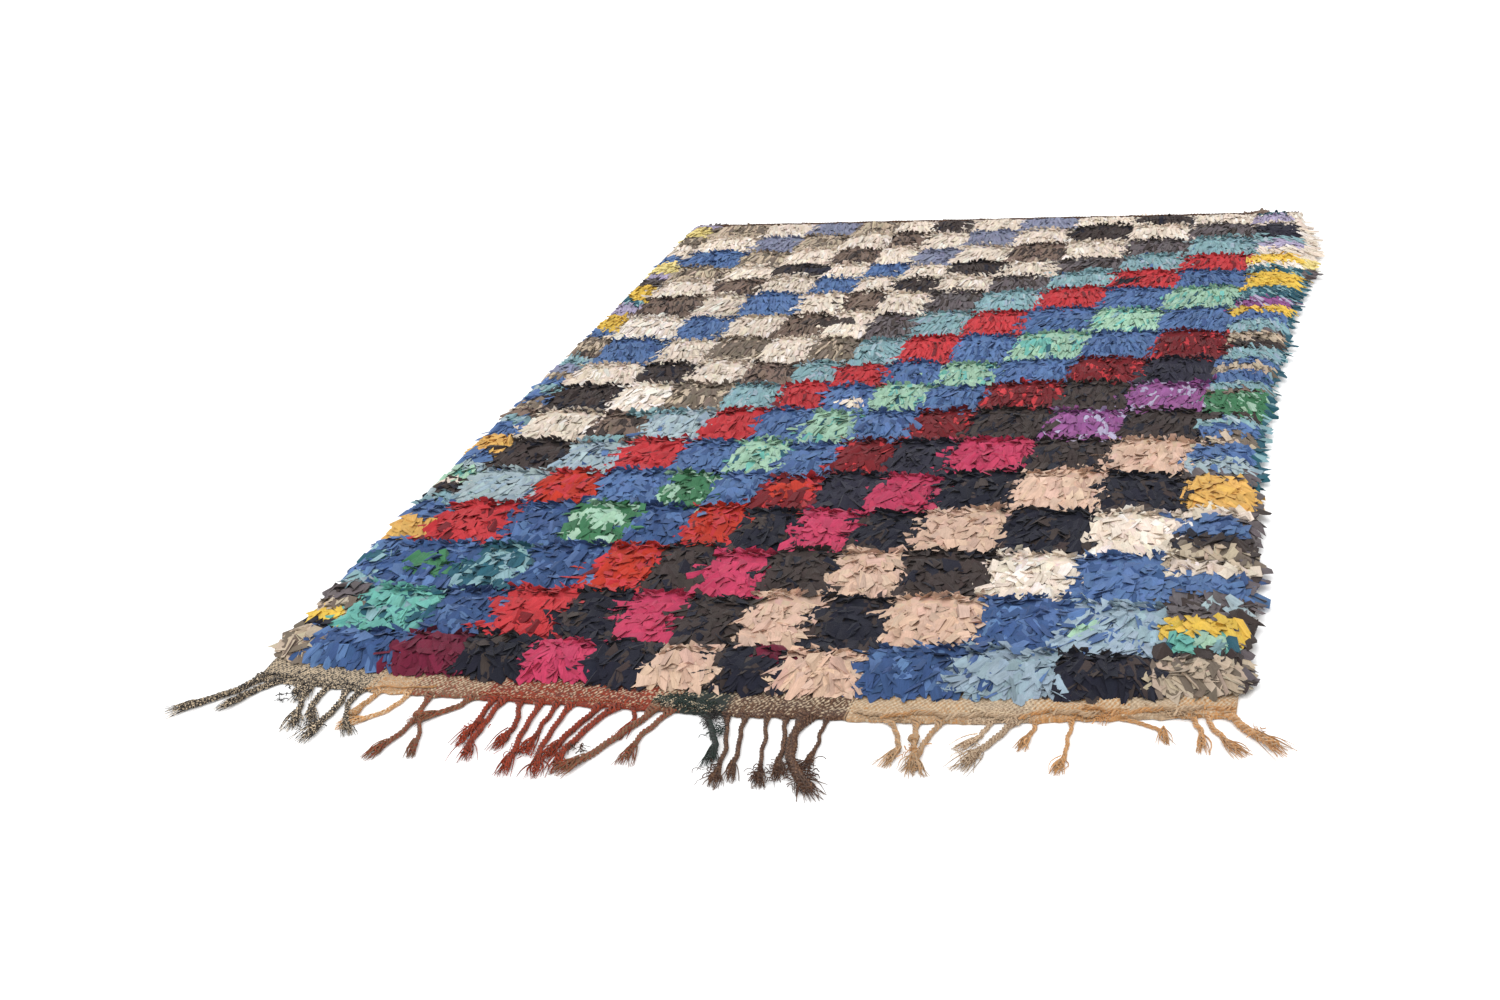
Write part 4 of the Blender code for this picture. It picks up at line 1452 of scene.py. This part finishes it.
def add_cords(parts, chance):
    """Adds the twisted warp ends that were turned aside along the woven edge."""
    share = np.linspace(0, 1, CORD_STATIONS)
    for x_from, back_from, x_to, back_to, yarn, thick, lift in CORDS:
        x = x_from + (x_to - x_from) * share
        wave = CORD_STRAY * ripples(CORD_WAVES, share, x_from)
        back = back_from + (back_to - back_from) * share + wave
        path = np.stack([x, front_line(x) + back], axis=-1)
        tone = chance.uniform(*CORD_TONES, (1, PLIES, 1))
        yarns = (yarn, "cream" if yarn in ("black", "forest") else "tan")
        add_cord(parts, path, abs(x_to - x_from), yarns, tone, CORD * thick, lift)


def add_tangles(parts, chance):
    """Adds clumps of loose threads that curl over the strands and the woven edge."""
    for x, y, wide, deep, yarn, low, count in TANGLES:
        start = np.array([x, y]) + chance.normal(0, TANGLE_SPREAD, (count, 2)) * [wide, deep]
        heading = chance.normal(-0.5 * math.pi, TANGLE_CURL, (count, 1))
        heading = heading + np.cumsum(chance.normal(0, TANGLE_CURL, (count, TANGLE_STATIONS)), axis=1)
        step = chance.uniform(*TANGLE_LENGTH, (count, 1)) / TANGLE_STATIONS
        line = np.empty((count, TANGLE_STATIONS, 3))
        line[..., 0] = start[:, :1] + np.cumsum(step * np.cos(heading), axis=1)
        line[..., 1] = start[:, 1:] + np.cumsum(step * np.sin(heading), axis=1)
        rise = chance.uniform(0, TANGLE_RISE, (count, 1))
        arch = np.sin(math.pi * np.linspace(0, 1, TANGLE_STATIONS)) * rise
        line[..., 2] = low + arch + chance.uniform(0, TANGLE_DEPTH, (count, 1))
        thick = TANGLE_THICK * chance.uniform(*TANGLE_SIZES, (count, 1)) * np.ones(TANGLE_STATIONS)
        colours = wool(yarn) * chance.uniform(*TANGLE_TONES, (count, 1))
        parts.add_tubes(line, thick, FRAY_SIDES, [colours])


def add_knots(parts, chance):
    """Adds the overhand knots, each two fat turns of yarn round its strands."""
    share = np.linspace(0, 1, KNOT_STATIONS)
    places = np.array(KNOTS)
    angle = 2 * math.pi * KNOT_TURNS * share
    lines = np.empty((len(places), KNOT_STATIONS, 3))
    lines[..., 0] = places[:, :1] + KNOT_ACROSS * np.cos(angle)
    lines[..., 1] = places[:, 1:] + KNOT_ALONG * (share - 0.5)
    lines[..., 2] = KNOT_Z + KNOT_UP * np.sin(angle)
    layers = [layer[:, 0] for layer in strand_colours(places[:, 0], chance)]
    parts.add_tubes(lines, np.full(lines.shape[:2], KNOT_YARN), PLY_SIDES, layers)


def build_fringe(weave):
    """The strip in front of the woven end, the strands that hang from it, and their knots."""
    parts = Parts()
    add_weave(parts, np.arange(-STRIP_ROWS, 1), front_line, 5)
    chance = seeded(10)
    stations = np.linspace(0, 1, PLY_STATIONS)
    paths = strand_paths(stations)
    x, reach, lean, _, thick = np.array(STRANDS).T
    radius = 0.5 * STRAND * thick
    colours = strand_colours(x, chance)
    phase = chance.uniform(0, 2 * math.pi, len(x))
    turns = np.hypot(reach, lean) / TWIST_LENGTH
    add_plies(parts, paths, radius, colours, turns, phase)
    add_frays(parts, paths, radius, colours, chance)
    tail_x, tail_y = np.array(KNOT_TAIL).T
    places = np.linspace(0, len(KNOT_TAIL) - 1, PLY_STATIONS)
    corners = np.arange(len(KNOT_TAIL))
    tail = np.stack([np.interp(places, corners, tail_x), np.interp(places, corners, tail_y)], axis=-1)[None]
    one = np.array([0.5 * STRAND])
    tail_colours = strand_colours(tail_x[:1], chance)
    add_plies(parts, tail, one, tail_colours, np.array([TAIL_TURNS]), np.zeros(1))
    add_frays(parts, tail, one, tail_colours, chance)
    add_knots(parts, chance)
    add_cords(parts, chance)
    add_tangles(parts, chance)
    return parts.build("warp_fringe", [weave], angle=60)


# The camera, the floor and the light

LENS = 46.17
CAMERA_PLACE = (0.8136, -3.1188, 1.2901)
CAMERA_TURN = (65.4284, 6.3830, 16.5158)  # degrees about X, Y and Z
SENSOR = 36.0
FLOOR_REACH = 20.0
FLOOR_Z = -0.0005
FLOOR_TONES = (0.96, 0.98)
LIGHT_FROM = (0.0, -0.60, 1.0)
LIGHT_ENERGY = 1.85
LIGHT_ANGLE = 60  # degrees
SURROUNDINGS = 0.97


def set_camera():
    data = bpy.data.cameras.new("camera")
    data.lens = LENS
    data.sensor_width = SENSOR
    camera = bpy.data.objects.new("camera", data)
    camera.location = CAMERA_PLACE
    camera.rotation_euler = Euler([math.radians(turn) for turn in CAMERA_TURN])
    bpy.context.scene.collection.objects.link(camera)
    bpy.context.scene.camera = camera


def set_floor():
    """A plain pale floor, with the faintest unevenness in its tone."""
    corners = FLOOR_REACH * np.array([[-1, -1], [1, -1], [1, 1], [-1, 1]])
    points = np.column_stack([corners, np.full(4, FLOOR_Z)])
    material, shader = new_material("floor", 0.9, 0.0)
    darker, paler = ([tone] * 3 for tone in FLOOR_TONES)
    tone = mixed_colour(material, noise(material, object_place(material), 1.5), darker, paler)
    wire(material, tone, shader.inputs["Base Color"])
    floor = mesh_object("floor", points, np.array([[0, 1, 2, 3]]), material)


def set_light():
    """Even white surroundings and one broad, soft light from above and in front."""
    world = bpy.data.worlds.new("studio")
    world.use_nodes = True
    background = world.node_tree.nodes["Background"]
    background.inputs["Color"].default_value = (1.0, 1.0, 1.0, 1)
    background.inputs["Strength"].default_value = SURROUNDINGS
    bpy.context.scene.world = world
    data = bpy.data.lights.new("overhead", "SUN")
    data.energy = LIGHT_ENERGY
    data.angle = math.radians(LIGHT_ANGLE)
    light = bpy.data.objects.new("overhead", data)
    light.rotation_euler = (-Vector(LIGHT_FROM)).to_track_quat("-Z", "Y").to_euler()
    bpy.context.scene.collection.objects.link(light)
    bpy.context.scene.view_settings.view_transform = "Standard"


set_camera()
set_floor()
set_light()
rag_cloth = rag_material("rag cloth", 0.95, 0.06)
pile = [build_bed(rag_cloth), *build_rags(rag_cloth)]
weave = yarn_material("woven wool")
ground = build_ground(weave, knotted_back_material())
fringe = build_fringe(weave)
for piece in pile:
    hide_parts("rug")
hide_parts("rug")
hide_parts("fringe")
for piece in (*pile, ground, fringe):
    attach(piece, "root")
